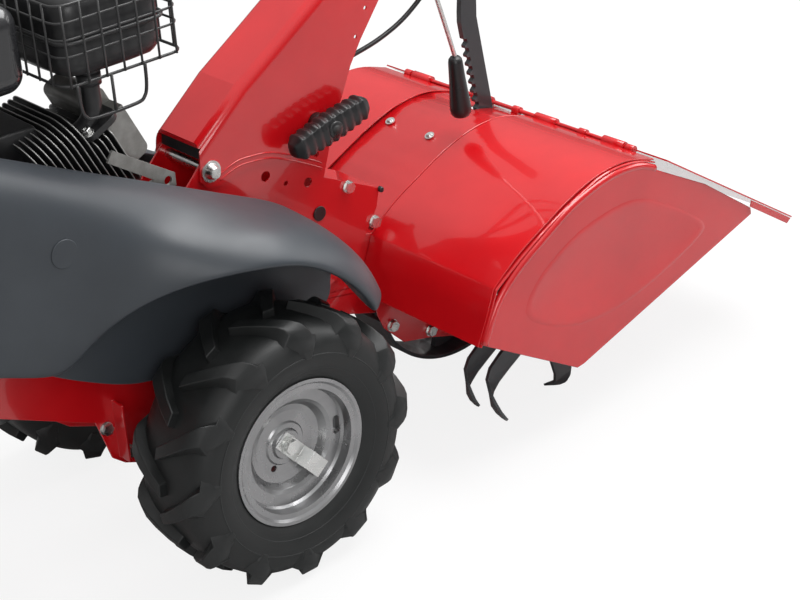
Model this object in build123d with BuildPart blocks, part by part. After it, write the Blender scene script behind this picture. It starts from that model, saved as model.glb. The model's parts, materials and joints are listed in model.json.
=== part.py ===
from build123d import *
import os
from math import asin, atan2, cos, degrees, hypot, radians, sin, sqrt

# Rear-tine garden tiller with an engine-driven, chain-cased rotor.
# Frame: +X is the machine's left, -Y is forward, +Z is up. Millimetres.
# Pieces are drawn with Y = 0 at the wheel axle; each is shifted when it is written, so that
# the origin lies on the ground below the middle of the machine.
os.makedirs("parts", exist_ok=True)

# ---------------------------------------------------------------- driving dimensions
AXLE_Z = 165.0          # wheel axle height, the tyre's outside radius
TYRE_R = 165.0
WHEEL_X = 192.0         # wheel centre from the mid-plane
LUG_COUNT = 12          # lugs on each half of the tread
AXLE_R = 12.5
INPUT = (0.0, 300.0)    # driven pulley and top sprocket shaft (Y, Z)
CRANK = (-206.0, 462.0)  # engine crankshaft (Y, Z)
ROTOR_Y = 450.0
ROTOR_R = 158.0         # blade tip radius
LOW_BLADE = 18.0        # lowest blade, degrees past straight down
BLADE_WIDE = 34.0
ROTOR_Z = ROTOR_R * cos(radians(LOW_BLADE) - asin(BLADE_WIDE / 2 / ROTOR_R))  # lowest blade corner on the ground
PIVOT = (58.0, 432.0)   # handlebar column pivot (Y, Z)
HOOD_HALF = 258.0       # hood, middle to outside of the end plate
SHEET = 2.5             # chassis and column sheet
CASE_HALF = 32.0        # chain case half width
BRACKET_X = 40.0        # outside face of the chassis bracket
COLUMN_X = 43.0         # outside face of the column's side plates
BELT_X = 101.0          # middle of the drive belt
PULLEY_CRANK_R = 38.0
PULLEY_INPUT_R = 72.0
GAP = 0.3               # clearance between bodies that pass close by
RUN = 0.05              # radial clearance of a running fit
MIDDLE_Y = 281.5        # middle of the whole machine, rearward of the wheel axle

wheel_signs = (("left", 1), ("right", -1))


def finish(part, name):
    """Shift a piece to the machine's middle, label it and write its STEP file."""
    solids = [solid.moved(Location((0, -MIDDLE_Y, 0))) for solid in part.solids()]
    piece = solids[0] if len(solids) == 1 else Compound(children=solids)
    piece.label = name
    export_step(piece, f"parts/{name}.step")


def side_plane(x, y=0.0, z=0.0):
    """A sketch plane facing left at height x from the mid-plane, local x rearward."""
    return Plane(origin=(x, y, z), x_dir=(0, 1, 0), z_dir=(1, 0, 0))


def side_polygon(points, x_from, x_to):
    """A plate with a side-view outline of (Y, Z) points between two X planes."""
    with BuildPart() as plate:
        with BuildSketch(side_plane(x_from)):
            with BuildLine():
                Polyline(*points, close=True)
            make_face()
        extrude(amount=x_to - x_from)
    return plate.part


def cross_rod(y, z, x_from, x_to, radius, bore=0.0):
    """A round bar or tube lying along X."""
    with BuildPart() as rod:
        with BuildSketch(side_plane(x_from, y, z)):
            Circle(radius)
            if bore:
                Circle(bore, mode=Mode.SUBTRACT)
        extrude(amount=x_to - x_from)
    return rod.part


def hex_bolt(place, length, size=8.0, washer=True):
    """A hex bolt whose head stands on the place's plane and whose shank goes below it."""
    across = size * 1.6
    with BuildPart(place) as bolt:
        if washer:
            Cylinder(size * 1.05, 1.5, align=(Align.CENTER, Align.CENTER, Align.MIN))
        base = 1.5 if washer else 0.0
        with BuildSketch(place.offset(base)):
            RegularPolygon(across / 2, 6, major_radius=False)
        extrude(amount=size * 0.65)
        if length:
            Cylinder(size / 2, length, align=(Align.CENTER, Align.CENTER, Align.MAX))
    return bolt.part


def dome_bolt(place, radius=6.5, height=4.0, length=0.0, size=6.0):
    """A flanged dome-head bolt."""
    with BuildPart(place) as bolt:
        Cylinder(radius, 1.4, align=(Align.CENTER, Align.CENTER, Align.MIN))
        with Locations((0, 0, 1.4)):
            Cone(radius * 0.72, radius * 0.45, height - 1.4, align=(Align.CENTER, Align.CENTER, Align.MIN))
        if length:
            Cylinder(size / 2, length, align=(Align.CENTER, Align.CENTER, Align.MAX))
    return bolt.part


def group(parts):
    """Several separate solids kept in one node."""
    return Compound(children=list(parts))


def band_path(a, ra, b, rb):
    """Outline of an open belt round two discs (Y, Z, radius) as four tangent points."""
    dy, dz = b[0] - a[0], b[1] - a[1]
    dist = hypot(dy, dz)
    base = atan2(dz, dy)
    lean = asin((ra - rb) / dist)
    out = []
    for side in (1, -1):
        angle = base + side * (radians(90) - lean)
        for centre, radius in ((a, ra), (b, rb)):
            out.append((centre[0] + radius * cos(angle), centre[1] + radius * sin(angle)))
    return out


def disc_hull(a, ra, b, rb, x_from, x_to):
    """The solid between two X planes that just wraps two discs."""
    up_a, up_b, low_a, low_b = band_path(a, ra, b, rb)
    with BuildPart() as hull:
        with BuildSketch(side_plane(x_from)):
            with Locations(a):
                Circle(ra)
            with Locations(b):
                Circle(rb)
            with BuildLine():
                Polyline(up_a, up_b, low_b, low_a, close=True)
            make_face()
        extrude(amount=x_to - x_from)
    return hull.part


def band(a, ra, b, rb, x_from, x_to, thick):
    """A closed belt or chain of even thickness round two discs."""
    outer = disc_hull(a, ra + thick, b, rb + thick, x_from, x_to)
    inner = disc_hull(a, ra, b, rb, x_from - 1, x_to + 1)
    with BuildPart() as loop:
        add(outer)
        add(inner, mode=Mode.SUBTRACT)
    return loop.part


def bend_tube(points, radius, bends, wall=0.0):
    """A tube along straight runs joined by tangent arcs."""
    with BuildPart() as tube:
        with BuildLine() as path:
            if len(points) > 2:
                FilletPolyline(*points, radius=bends)
            else:
                Line(*points)
        with BuildSketch(path.line ^ 0):
            Circle(radius)
            if wall:
                Circle(radius - wall, mode=Mode.SUBTRACT)
        sweep()
    return tube.part


# ---------------------------------------------------------------- wheels
BEAD_R = 79.0           # tyre bead seat
RIM_LIP_R = 89.0
LUG_HALF = 56.0         # lugs reach this far from the wheel's middle
LUG_SKEW = 36.0         # lug angle against the axle, degrees


def wheel_plane(side):
    """Plane through the wheel's axis: local x along the axle outwards, local y upwards."""
    return Plane(origin=(side * WHEEL_X, 0, AXLE_Z), x_dir=(side, 0, 0), z_dir=(0, -side, 0))


def make_tyre(side):
    axle = Axis((0, 0, AXLE_Z), (1, 0, 0))
    with BuildPart() as lugs:
        for half in (1, -1):
            for k in range(LUG_COUNT):
                turn = 360 / LUG_COUNT * (k + (0.5 if half > 0 else 0.0))
                radial = Plane(origin=(side * WHEEL_X, 0, AXLE_Z), x_dir=(side, 0, 0),
                               z_dir=(0, sin(radians(turn)), cos(radians(turn))))
                with BuildSketch(radial.offset(140)):
                    with Locations((half * 32, half * 11)):
                        Rectangle(66, 17, rotation=half * LUG_SKEW)
                extrude(amount=32)
        with BuildSketch(side_plane(side * WHEEL_X - LUG_HALF, 0, AXLE_Z)):
            Circle(TYRE_R)
            Circle(140, mode=Mode.SUBTRACT)
        extrude(amount=2 * LUG_HALF, mode=Mode.INTERSECT)
    with BuildPart() as tyre:
        with BuildSketch(wheel_plane(side)):
            with BuildLine():
                Polyline((-40, 92), (-40, BEAD_R), (-44, BEAD_R), (-44, 90))
                ThreePointArc((-44, 90), (-62, 118), (-50, 146))
                ThreePointArc((-50, 146), (0, 153), (50, 146))
                ThreePointArc((50, 146), (62, 118), (44, 90))
                Polyline((44, 90), (44, BEAD_R), (40, BEAD_R), (40, 92))
                ThreePointArc((40, 92), (54, 116), (43, 139))
                ThreePointArc((43, 139), (0, 145), (-43, 139))
                ThreePointArc((-43, 139), (-54, 116), (-40, 92))
            make_face()
        revolve(axis=axle)
        add(lugs.part)
        with BuildSketch(wheel_plane(side)):
            with BuildLine():
                Line((-40, 92), (-43, 138))
                ThreePointArc((-43, 138), (0, 144), (43, 138))
                Polyline((43, 138), (40, 92), (-40, 92))
            make_face()
        revolve(axis=axle, mode=Mode.SUBTRACT)
    return tyre.part


RIM_BARREL = [
    (-50, 89), (-47, 89), (-44.3, 86), (-44.3, 78.7), (-28, 77), (-20, 66), (20, 66), (28, 77),
    (44.3, 78.7), (44.3, 86), (47, 89), (50, 89), (50, 85), (47.3, 82), (47.3, 75.5), (36, 74),
    (22, 62.5), (-22, 62.5), (-30, 73.5), (-47.3, 75.5), (-47.3, 82), (-50, 85),
]
RIM_DISC = [
    (36, 75.0), (33, 72), (32, 58), (29, 54), (21, 48), (19, 40), (19, 27), (21, 25), (21, 19), (24, 17),
    (24, AXLE_R + RUN), (-60, AXLE_R + RUN), (-60, 19), (18, 19), (18, 24), (16, 26), (16, 41), (18, 50),
    (26, 56.5), (29, 60), (30, 73.4),
]
HUB_END = WHEEL_X + 24.6


def make_rim(side):
    axle = Axis((0, 0, AXLE_Z), (1, 0, 0))
    with BuildPart() as rim:
        for outline in (RIM_BARREL, RIM_DISC):
            with BuildSketch(wheel_plane(side)):
                with BuildLine():
                    Polyline(*outline, close=True)
                make_face()
            revolve(axis=axle)
        with BuildSketch(side_plane(side * (WHEEL_X + 24), 0, AXLE_Z)):
            with PolarLocations(65.5, 1):
                SlotOverall(24, 9, rotation=90)
        extrude(amount=side * 16, mode=Mode.SUBTRACT)
        with BuildSketch(side_plane(side * (WHEEL_X + 12), 0, AXLE_Z)):
            with PolarLocations(32, 1, start_angle=235):
                Circle(4)
        extrude(amount=side * 12, mode=Mode.SUBTRACT)
    return rim.part


LOCK_TURN = radians(-51)  # the strip points rearwards and down


def make_lock_strip(side):
    """Bent zinc strip held by the end bolt; its free end stands out from the hub."""
    along = Vector(0, cos(LOCK_TURN), sin(LOCK_TURN))
    outward = Vector(side, 0, 0)
    place = Plane(origin=(side * HUB_END, 0, AXLE_Z), x_dir=along, z_dir=along.cross(outward))
    with BuildPart() as strip:
        with BuildSketch(place):
            with BuildLine():
                Polyline((-14, 0), (24, 0), (31, 12), (57, 12), (57, 14.5), (29.6, 14.5), (22.6, 2.5),
                         (-14, 2.5), close=True)
            make_face()
        extrude(amount=11, both=True)
    return strip.part


wheel_bolts = []
lock_strips = []
for side_name, sign in wheel_signs:
    finish(make_tyre(sign), f"tyre_{side_name}")
    finish(make_rim(sign), f"rim_{side_name}")
    lock_strips.append(make_lock_strip(sign))
    end = Plane(origin=(sign * (HUB_END + 2.5), 0, AXLE_Z), x_dir=(0, 1, 0), z_dir=(sign, 0, 0))
    wheel_bolts.append(hex_bolt(end, 0, 10))
finish(group(wheel_bolts), "axle_end_bolts")
finish(group(lock_strips), "hub_lock_strips")

with BuildPart() as wheel_axle:
    with BuildSketch(side_plane(-HUB_END, 0, AXLE_Z)):
        Circle(AXLE_R)
    extrude(amount=2 * HUB_END)
finish(wheel_axle.part, "wheel_axle")

# ---------------------------------------------------------------- chain case and drive
CASE_WALL = 4.0
CASE_INPUT_R = 44.0
CASE_AXLE_R = 76.0
CASE_ROTOR_R = 60.0
ROTOR = (ROTOR_Y, ROTOR_Z)
AXLE = (0.0, AXLE_Z)
TINE_SHAFT_R = 14.0
INPUT_SHAFT_R = 10.0
BUSH_WALL = 5.0
CHAIN_THICK = 7.0
WHEEL_CHAIN_X = 14.0
TINE_CHAIN_X = -14.0
WHEEL_DRIVE_R = 18.0    # small sprocket on the input shaft, wheel chain
WHEEL_SPROCKET_R = 54.0
TINE_DRIVE_R = 20.0     # small sprocket on the input shaft, rotor chain
TINE_SPROCKET_R = 40.0


def case_half(side):
    """Half of the chain case: a dished casting from the mid-plane outwards."""
    shell = []
    for grow, x_out in ((0.0, CASE_HALF), (-CASE_WALL, CASE_HALF - CASE_WALL)):
        lower = disc_hull(INPUT, CASE_INPUT_R + grow, AXLE, CASE_AXLE_R + grow, 0, side * x_out)
        upper = disc_hull(INPUT, CASE_INPUT_R + grow, ROTOR, CASE_ROTOR_R + grow, 0, side * x_out)
        shell.append((lower, upper))
    with BuildPart() as half:
        add(shell[0][0])
        add(shell[0][1])
        for centre, shaft in ((AXLE, AXLE_R), (ROTOR, TINE_SHAFT_R), (INPUT, INPUT_SHAFT_R)):
            with BuildSketch(side_plane(0, centre[0], centre[1])):
                Circle(shaft + BUSH_WALL + 7)
            extrude(amount=side * (CASE_HALF + 6))
        add(shell[1][0], mode=Mode.SUBTRACT)
        add(shell[1][1], mode=Mode.SUBTRACT)
        for centre, shaft in ((AXLE, AXLE_R), (ROTOR, TINE_SHAFT_R), (INPUT, INPUT_SHAFT_R)):
            with BuildSketch(side_plane(0, centre[0], centre[1])):
                Circle(shaft + BUSH_WALL)
            extrude(amount=side * (CASE_HALF + 7), mode=Mode.SUBTRACT)
    return half.part


finish(case_half(1), "chain_case_left")
finish(case_half(-1), "chain_case_right")

bushes = []
for centre, shaft in ((AXLE, AXLE_R), (ROTOR, TINE_SHAFT_R), (INPUT, INPUT_SHAFT_R)):
    for sign in (1, -1):
        inner, outer = sign * (CASE_HALF - CASE_WALL), sign * (CASE_HALF + 6)
        bushes.append(cross_rod(centre[0], centre[1], inner, outer, shaft + BUSH_WALL, shaft + RUN))
finish(group(bushes), "shaft_bushes")


def sprocket(centre, radius, bore, x_mid):
    """A toothed chain wheel whose tooth tips stay just inside the chain."""
    count = max(9, round(radius * 2 * 3.1416 / 12.7))
    with BuildPart() as wheel:
        with BuildSketch(side_plane(x_mid - 2.5, centre[0], centre[1])):
            Circle(radius - 4)
            with PolarLocations(radius - 3.6, count):
                Rectangle(6.4, 5)
            Circle(bore, mode=Mode.SUBTRACT)
        extrude(amount=5)
        with BuildSketch(side_plane(x_mid - 5, centre[0], centre[1])):
            Circle(bore + 3)
            Circle(bore, mode=Mode.SUBTRACT)
        extrude(amount=10)
    return wheel.part


finish(sprocket(AXLE, WHEEL_SPROCKET_R, AXLE_R, WHEEL_CHAIN_X), "axle_sprocket")
finish(sprocket(ROTOR, TINE_SPROCKET_R, TINE_SHAFT_R, TINE_CHAIN_X), "tine_sprocket")
finish(group([sprocket(INPUT, WHEEL_DRIVE_R, INPUT_SHAFT_R, WHEEL_CHAIN_X),
              sprocket(INPUT, TINE_DRIVE_R, INPUT_SHAFT_R, TINE_CHAIN_X)]), "input_sprockets")
finish(group([band(INPUT, WHEEL_DRIVE_R + GAP, AXLE, WHEEL_SPROCKET_R + GAP, WHEEL_CHAIN_X - 4,
                   WHEEL_CHAIN_X + 4, CHAIN_THICK),
              band(INPUT, TINE_DRIVE_R + GAP, ROTOR, TINE_SPROCKET_R + GAP, TINE_CHAIN_X - 4,
                   TINE_CHAIN_X + 4, CHAIN_THICK)]), "drive_chains")
finish(cross_rod(*INPUT, -CASE_HALF - 6, BELT_X + 13, INPUT_SHAFT_R), "input_shaft")


def vee_pulley(centre, radius, bore, width=22.0):
    """A single-groove belt pulley; the belt runs at the given radius."""
    half = width / 2
    x_dir = Plane(origin=(BELT_X, centre[0], centre[1]), x_dir=(1, 0, 0), z_dir=(0, -1, 0))
    with BuildPart() as pulley:
        with BuildSketch(x_dir):
            with BuildLine():
                Polyline((-half, bore), (-half, radius + 5), (-7.6, radius + 5), (-4.6, radius - 6.4),
                         (4.6, radius - 6.4), (7.6, radius + 5), (half, radius + 5), (half, bore), close=True)
            make_face()
        revolve(axis=Axis((0, centre[0], centre[1]), (1, 0, 0)))
    return pulley.part


finish(vee_pulley(CRANK, PULLEY_CRANK_R, 9.5), "engine_pulley")
finish(vee_pulley(INPUT, PULLEY_INPUT_R, INPUT_SHAFT_R), "driven_pulley")
finish(band(CRANK, PULLEY_CRANK_R - 6, INPUT, PULLEY_INPUT_R - 6, BELT_X - 4, BELT_X + 4, 8.0), "drive_belt")


# ---------------------------------------------------------------- belt guard and fenders
GUARD_IN = 84.0         # open inboard side
GUARD_WALL = 118.0      # wheel well wall, outside face
GUARD_OUT = 150.0       # front panel, outside face
FENDER_OUT = 238.0
ARCH = (-45.0, 165.0)   # wheel arch centre (Y, Z)
ARCH_R = 235.0
FENDER_R = 263.0
SKIN = 2.5              # moulded plastic wall
GUARD_OUTLINE = [
    (-330, 370), (-385, 425), (-402, 490), (-385, 550), (-335, 592), (-290, 588), (-61, 475), (123, 383),
    (168, 340), (150, 298), (100, 232), (40, 212), (-60, 222), (-110, 248),
]


def arch_cut(x_from, x_to, radius):
    return cross_rod(*ARCH, x_from, x_to, radius)


def guard_mass(inset, x_in):
    """Front panel block with a sloping shoulder, drawn in by the wall thickness."""
    with BuildPart() as mass:
        with BuildSketch(side_plane(x_in)):
            with BuildLine():
                Polyline(*GUARD_OUTLINE, close=True)
            make_face()
            if inset:
                offset(amount=-inset, kind=Kind.INTERSECTION, mode=Mode.REPLACE)
        extrude(amount=GUARD_OUT - inset - x_in)
        outer = mass.faces().sort_by(Axis.X)[-1]
        upper = outer.edges().sort_by(Axis.Z)[-5:]
        chamfer(upper, 40)
    return mass.part


def fender_sector(inset, x_in, y_front):
    """The fender over the rear upper quarter of the wheel."""
    with BuildPart() as mass:
        with BuildSketch(side_plane(x_in)):
            with Locations(ARCH):
                Circle(FENDER_R - inset)
            with BuildLine():
                Polyline((y_front + inset, 300), (y_front + inset, 460), (220, 460), (220, 296 + inset),
                         (100, 296 + inset), close=True)
            make_face(mode=Mode.INTERSECT)
        extrude(amount=FENDER_OUT - inset - x_in)
        outer = mass.faces().sort_by(Axis.X)[-1]
        fillet(outer.edges().filter_by(GeomType.CIRCLE), 26 - inset)
    return mass.part


def fender_mass(inset, x_in, y_front, with_panel):
    """Solid fender with its wheel well cut out, with or without the front panel."""
    with BuildPart() as mass:
        add(fender_sector(inset, x_in, y_front))
        if with_panel:
            add(guard_mass(inset, x_in))
        add(arch_cut(GUARD_WALL - inset, FENDER_OUT + 2, ARCH_R + inset), mode=Mode.SUBTRACT)
    return mass.part


with BuildPart() as belt_guard:
    add(fender_mass(0, GUARD_IN, -150.0, True))
    add(fender_mass(SKIN, GUARD_IN - 5, -150.0, True), mode=Mode.SUBTRACT)
finish(belt_guard.part, "belt_guard")

CAP = (-206.0, 462.0)   # access cap over the crank pulley (Y, Z)
with BuildPart() as guard_cap:
    with BuildSketch(side_plane(GUARD_OUT, *CAP)):
        Circle(16)
    extrude(amount=2)
    fillet(guard_cap.edges().sort_by(Axis.X)[-1], 1.2)
finish(guard_cap.part, "guard_cap")

with BuildPart() as right_fender:
    add(fender_mass(0, GUARD_IN, -100.0, False))
    add(fender_mass(SKIN, GUARD_IN - 5, -100.0, False), mode=Mode.SUBTRACT)
finish(mirror(right_fender.part, about=Plane.YZ), "right_fender")

# ---------------------------------------------------------------- chassis and column bracket
CHASSIS_HALF = 60.0
DECK_Z = 352.0          # engine deck
CHASSIS_SIDE = [
    (-430, DECK_Z), (-430, 338), (-149, 196), (-134, 142), (-118, 128), (-60, 102), (0, 92),
    (60, 108), (86, 165), (86, 262), (40, DECK_Z),
]


def chassis_side(side):
    """One side sheet with its shaft holes and the forward-facing gusset flange."""
    with BuildPart() as sheet:
        add(side_polygon(CHASSIS_SIDE, side * (CHASSIS_HALF - 3), side * CHASSIS_HALF))
        with BuildSketch(side_plane(0)):
            with Locations((0, AXLE_Z)):
                Circle(AXLE_R + 6)
            with Locations(INPUT):
                Circle(INPUT_SHAFT_R + 5)
        extrude(amount=side * 80, mode=Mode.SUBTRACT)
        with BuildSketch(Plane.XY.offset(140)):
            with Locations((side * (CHASSIS_HALF + 10), -123)):
                Rectangle(20, 3)
        extrude(amount=75)
    return sheet.part


with BuildPart() as chassis_tunnel:
    for sign in (1, -1):
        add(chassis_side(sign))
    add(side_polygon([(-430, DECK_Z), (-430, DECK_Z - 4), (-90, DECK_Z - 4), (-90, DECK_Z)], -82, 82))
    add(side_polygon([(-430, 338), (-149, 196), (-149, 200), (-430, 342)], -CHASSIS_HALF, CHASSIS_HALF))
    add(side_polygon([(-430, 338), (-430, DECK_Z), (-426, DECK_Z), (-426, 338)], -CHASSIS_HALF, CHASSIS_HALF))
finish(chassis_tunnel.part, "chassis_tunnel")

KNOB = (216.0, 442.0)   # clamp knob stud (Y, Z)
TILT_DOWN = -3.0        # column height adjustment, degrees
TILT_UP = 6.0
BRACKET_OUTLINE = [
    (-74, 236), (-60, 340), (36, 432), (58, 454), (110, 452), (190, 478), (238, 466), (236, 400), (224, 366),
    (310, 322), (304, 298), (262, 235), (200, 214), (90, 214), (60, 214), (-20, 214),
]
BRACKET_HOLES = [(137, 397, 6.5), (166, 378, 3.0), (199, 368, 6.0), (212, 322, 8.0), (*INPUT, 24.0)]


def tilt_slot(half_width, x_from, x_to):
    """The curved slot that the knob's stud follows when the column tilts."""
    reach = hypot(KNOB[0] - PIVOT[0], KNOB[1] - PIVOT[1])
    rest = degrees(atan2(KNOB[1] - PIVOT[1], KNOB[0] - PIVOT[0]))
    cap = degrees(half_width / reach)

    def polar(across, angle):
        turn = radians(rest + angle)
        return ((reach + across) * cos(turn), (reach + across) * sin(turn))

    with BuildPart() as slot:
        with BuildSketch(side_plane(x_from, *PIVOT)):
            with BuildLine():
                ThreePointArc(polar(half_width, TILT_DOWN), polar(half_width, 0), polar(half_width, TILT_UP))
                ThreePointArc(polar(half_width, TILT_UP), polar(0, TILT_UP + cap), polar(-half_width, TILT_UP))
                ThreePointArc(polar(-half_width, TILT_UP), polar(-half_width, 0), polar(-half_width, TILT_DOWN))
                ThreePointArc(polar(-half_width, TILT_DOWN), polar(0, TILT_DOWN - cap),
                              polar(half_width, TILT_DOWN))
            make_face()
        extrude(amount=x_to - x_from)
    return slot.part


def bracket_side(side):
    with BuildPart() as sheet:
        add(side_polygon(BRACKET_OUTLINE, side * (BRACKET_X - SHEET), side * BRACKET_X))
        with BuildSketch(side_plane(0)):
            for y, z, radius in BRACKET_HOLES:
                with Locations((y, z)):
                    Circle(radius)
            with Locations(PIVOT):
                Circle(6.05)
        extrude(amount=side * 60, mode=Mode.SUBTRACT)
        add(tilt_slot(5.5, -60, 60), mode=Mode.SUBTRACT)
    return sheet.part


with BuildPart() as column_bracket:
    for sign in (1, -1):
        add(bracket_side(sign))
    add(side_polygon([(224, 366), (310, 322), (309, 319), (222.5, 363)], -BRACKET_X, BRACKET_X))
    add(side_polygon([(-74, 236), (-60, 340), (-57, 340), (-71, 236)], -BRACKET_X, BRACKET_X))
finish(column_bracket.part, "column_bracket")

# ---------------------------------------------------------------- handlebar column
COLUMN_OUTLINE = [
    (42, 424), (48, 467), (112, 518), (151, 542), (223, 587), (330, 657), (402, 712), (440, 672), (368, 606),
    (327, 563), (294, 522), (276, 495), (259, 460), (228, 401), (222, 377),
    (185, 399), (149, 414), (127, 418), (97, 418), (70, 410), (52, 412),
]
COLUMN_FRONT = COLUMN_OUTLINE[:7]
FRONT_FILLET = 13.0


def column_mass(half, drop):
    """Solid column; the cavity is the same shape pushed rearwards and down."""
    with BuildPart() as mass:
        with BuildSketch(side_plane(-half)):
            with BuildLine():
                if drop:
                    moved = [(y + drop * 0.6, z - drop * 0.85) for y, z in COLUMN_FRONT]
                    Polyline((30, 380), *moved[1:], (560, 560), (300, 250), close=True)
                else:
                    Polyline(*COLUMN_OUTLINE, close=True)
            make_face()
        extrude(amount=2 * half)
    return mass.part


def rounded_column(half, drop, radius):
    """The column's body with its two long front edges rounded."""
    shift = Vector(drop * 0.6, -drop * 0.85)
    middles = [(Vector(*a) + Vector(*b)) / 2 + shift for a, b in zip(COLUMN_FRONT[1:], COLUMN_FRONT[2:])]
    with BuildPart() as body:
        add(column_mass(half, drop))
        front_edges = [
            edge for edge in body.edges()
            if abs(abs(edge.center().X) - half) < 0.01 and edge.center().Z > 465 and any(
                abs(edge.center().Y - place.X) < 1 and abs(edge.center().Z - place.Y) < 1 for place in middles)
        ]
        fillet(front_edges, radius)
    return body.part


with BuildPart() as column_shell:
    add(rounded_column(COLUMN_X, 0, FRONT_FILLET))
    add(rounded_column(COLUMN_X - SHEET, 3.0, FRONT_FILLET - SHEET), mode=Mode.SUBTRACT)
    with BuildSketch(side_plane(-COLUMN_X - 1)):
        with Locations(PIVOT):
            Circle(6.05)
        with Locations(KNOB):
            Circle(5.3)
        with Locations((305, 559), (287, 528)):
            Circle(2.5)
        with Locations((210, 403)):
            SlotOverall(15, 7, rotation=-30)
    extrude(amount=2 * COLUMN_X + 2, mode=Mode.SUBTRACT)
    with BuildSketch(side_plane(-COLUMN_X + SHEET)):
        with BuildLine():
            Polyline((30, 380), (30, 462), (80, 462), (80, 380), close=True)
        make_face()
    extrude(amount=2 * (COLUMN_X - SHEET), mode=Mode.SUBTRACT)
    add(side_polygon([(402, 712), (440, 672), (437.5, 669.5), (399.5, 709.5)], -COLUMN_X, COLUMN_X))
finish(column_shell.part, "column_shell")

with BuildPart() as pivot_bolt:
    add(cross_rod(*PIVOT, -COLUMN_X - 12, COLUMN_X + 1, 6.0))
    with BuildSketch(side_plane(COLUMN_X, *PIVOT)):
        Circle(13)
    extrude(amount=2.2)
    with BuildSketch(side_plane(COLUMN_X + 2.2, *PIVOT)):
        Circle(10)
    extrude(amount=9, taper=22)
    with BuildSketch(side_plane(-COLUMN_X, *PIVOT)):
        RegularPolygon(9.5, 6, major_radius=False)
    extrude(amount=-9)
finish(pivot_bolt.part, "pivot_bolt")

KNOB_LEAN = 12.0        # the bar of the knob rises to the rear by this angle
with BuildPart() as column_knob:
    with BuildSketch(side_plane(COLUMN_X + 14, *KNOB)):
        SlotOverall(122, 30, rotation=KNOB_LEAN)
    extrude(amount=22)
    fillet(column_knob.faces().sort_by(Axis.X)[-1].edges(), 8)
    with BuildSketch(side_plane(COLUMN_X + GAP, *KNOB)):
        Circle(12)
    extrude(amount=14)
    with BuildSketch(side_plane(BRACKET_X - 14, *KNOB)):
        Circle(5.0)
    extrude(amount=20)
    with BuildSketch(side_plane(BRACKET_X - SHEET - GAP, *KNOB)):
        RegularPolygon(8.5, 6, major_radius=False)
    extrude(amount=-8)
finish(column_knob.part, "column_knob")

# ---------------------------------------------------------------- tine hood
HOOD_SKIN = 2.0
LAP_X = -130.0          # the two hood skins overlap here
FOLD = (299, 256)
HOOD_FRONT = (270, 190)
HOOD_CREST = (478, 339)
HOOD_REAR = (584, 326)


def hood_sheet(x_from, x_to, depth):
    """A hood skin: front wall, fold and rolled top, at a depth below the outer surface."""
    outlines = []
    for inset in (depth, depth + HOOD_SKIN):
        front = (HOOD_FRONT[0] + inset * 0.915, HOOD_FRONT[1] - inset * 0.4)
        fold = (FOLD[0] + inset * 0.9, FOLD[1] - inset * 0.55)
        middle = (386 + inset * 0.5, 305 - inset * 0.87)
        crest = (HOOD_CREST[0] + inset * 0.2, HOOD_CREST[1] - inset * 0.98)
        top = (532 - inset * 0.05, 341 - inset)
        rear = (HOOD_REAR[0] - inset * 0.4, HOOD_REAR[1] - inset * 0.92)
        outlines.append((front, fold, middle, crest, top, rear))
    (f0, g0, m0, c0, t0, r0), (f1, g1, m1, c1, t1, r1) = outlines
    with BuildPart() as sheet:
        with BuildSketch(side_plane(x_from)):
            with BuildLine():
                Line(f0, g0)
                ThreePointArc(g0, m0, c0)
                ThreePointArc(c0, t0, r0)
                Line(r0, r1)
                ThreePointArc(r1, t1, c1)
                ThreePointArc(c1, m1, g1)
                Line(g1, f1)
                Line(f1, f0)
            make_face()
        extrude(amount=x_to - x_from)
    return sheet.part


BAR_X = -25.0           # depth bar, middle
BAR_TOP = (557.0, 334.0)  # where the bar's centre line passes the hood top (Y, Z)
BAR_LEAN = 10.0         # bar leans forward at the top, degrees
PLATE_IN = HOOD_HALF - 2.5

with BuildPart() as hood_left_skin:
    add(hood_sheet(LAP_X - 12, PLATE_IN - GAP, 0))
    with Locations((0, 296, 222)):
        Box(2 * (CASE_HALF + 8), 90, 84, mode=Mode.SUBTRACT)
    with Locations((BAR_X, 557, 334)):
        Box(16, 48, 40, mode=Mode.SUBTRACT)
finish(hood_left_skin.part, "hood_left_skin")
finish(hood_sheet(-PLATE_IN + GAP, LAP_X, HOOD_SKIN + 0.1), "hood_right_skin")


def hood_plate(side):
    """End plate with a rolled top edge and an embossed drop-shaped panel."""
    with BuildPart() as plate:
        with BuildSketch(side_plane(side * PLATE_IN)):
            with BuildLine():
                Line((779, 190), (581, 313))
                ThreePointArc((581, 313), (520, 333), (452, 323))
                ThreePointArc((452, 323), (339, 269), (276, 188))
                Line((276, 188), (434, 92))
                Line((434, 92), (776, 181))
                Line((776, 181), (779, 190))
            make_face()
        extrude(amount=side * 2.5)
        with BuildSketch(side_plane(side * HOOD_HALF)):
            with BuildLine():
                ThreePointArc((340, 208), (404, 270), (500, 293))
                ThreePointArc((500, 293), (600, 262), (676, 206))
                Line((676, 206), (672, 192))
                ThreePointArc((672, 192), (560, 155), (440, 154))
                ThreePointArc((440, 154), (372, 178), (340, 208))
            make_face()
        extrude(amount=side * 1.2)
    return plate.part


finish(hood_plate(1), "hood_left_plate")
finish(hood_plate(-1), "hood_right_plate")

HINGE = (591.0, 328.0)  # rear flap hinge (Y, Z)
FLAP_TIP = (862.0, 150.0)
FLAP_HALF = 263.0
hinge_slots = (-180, -60, 60, 180)

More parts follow.
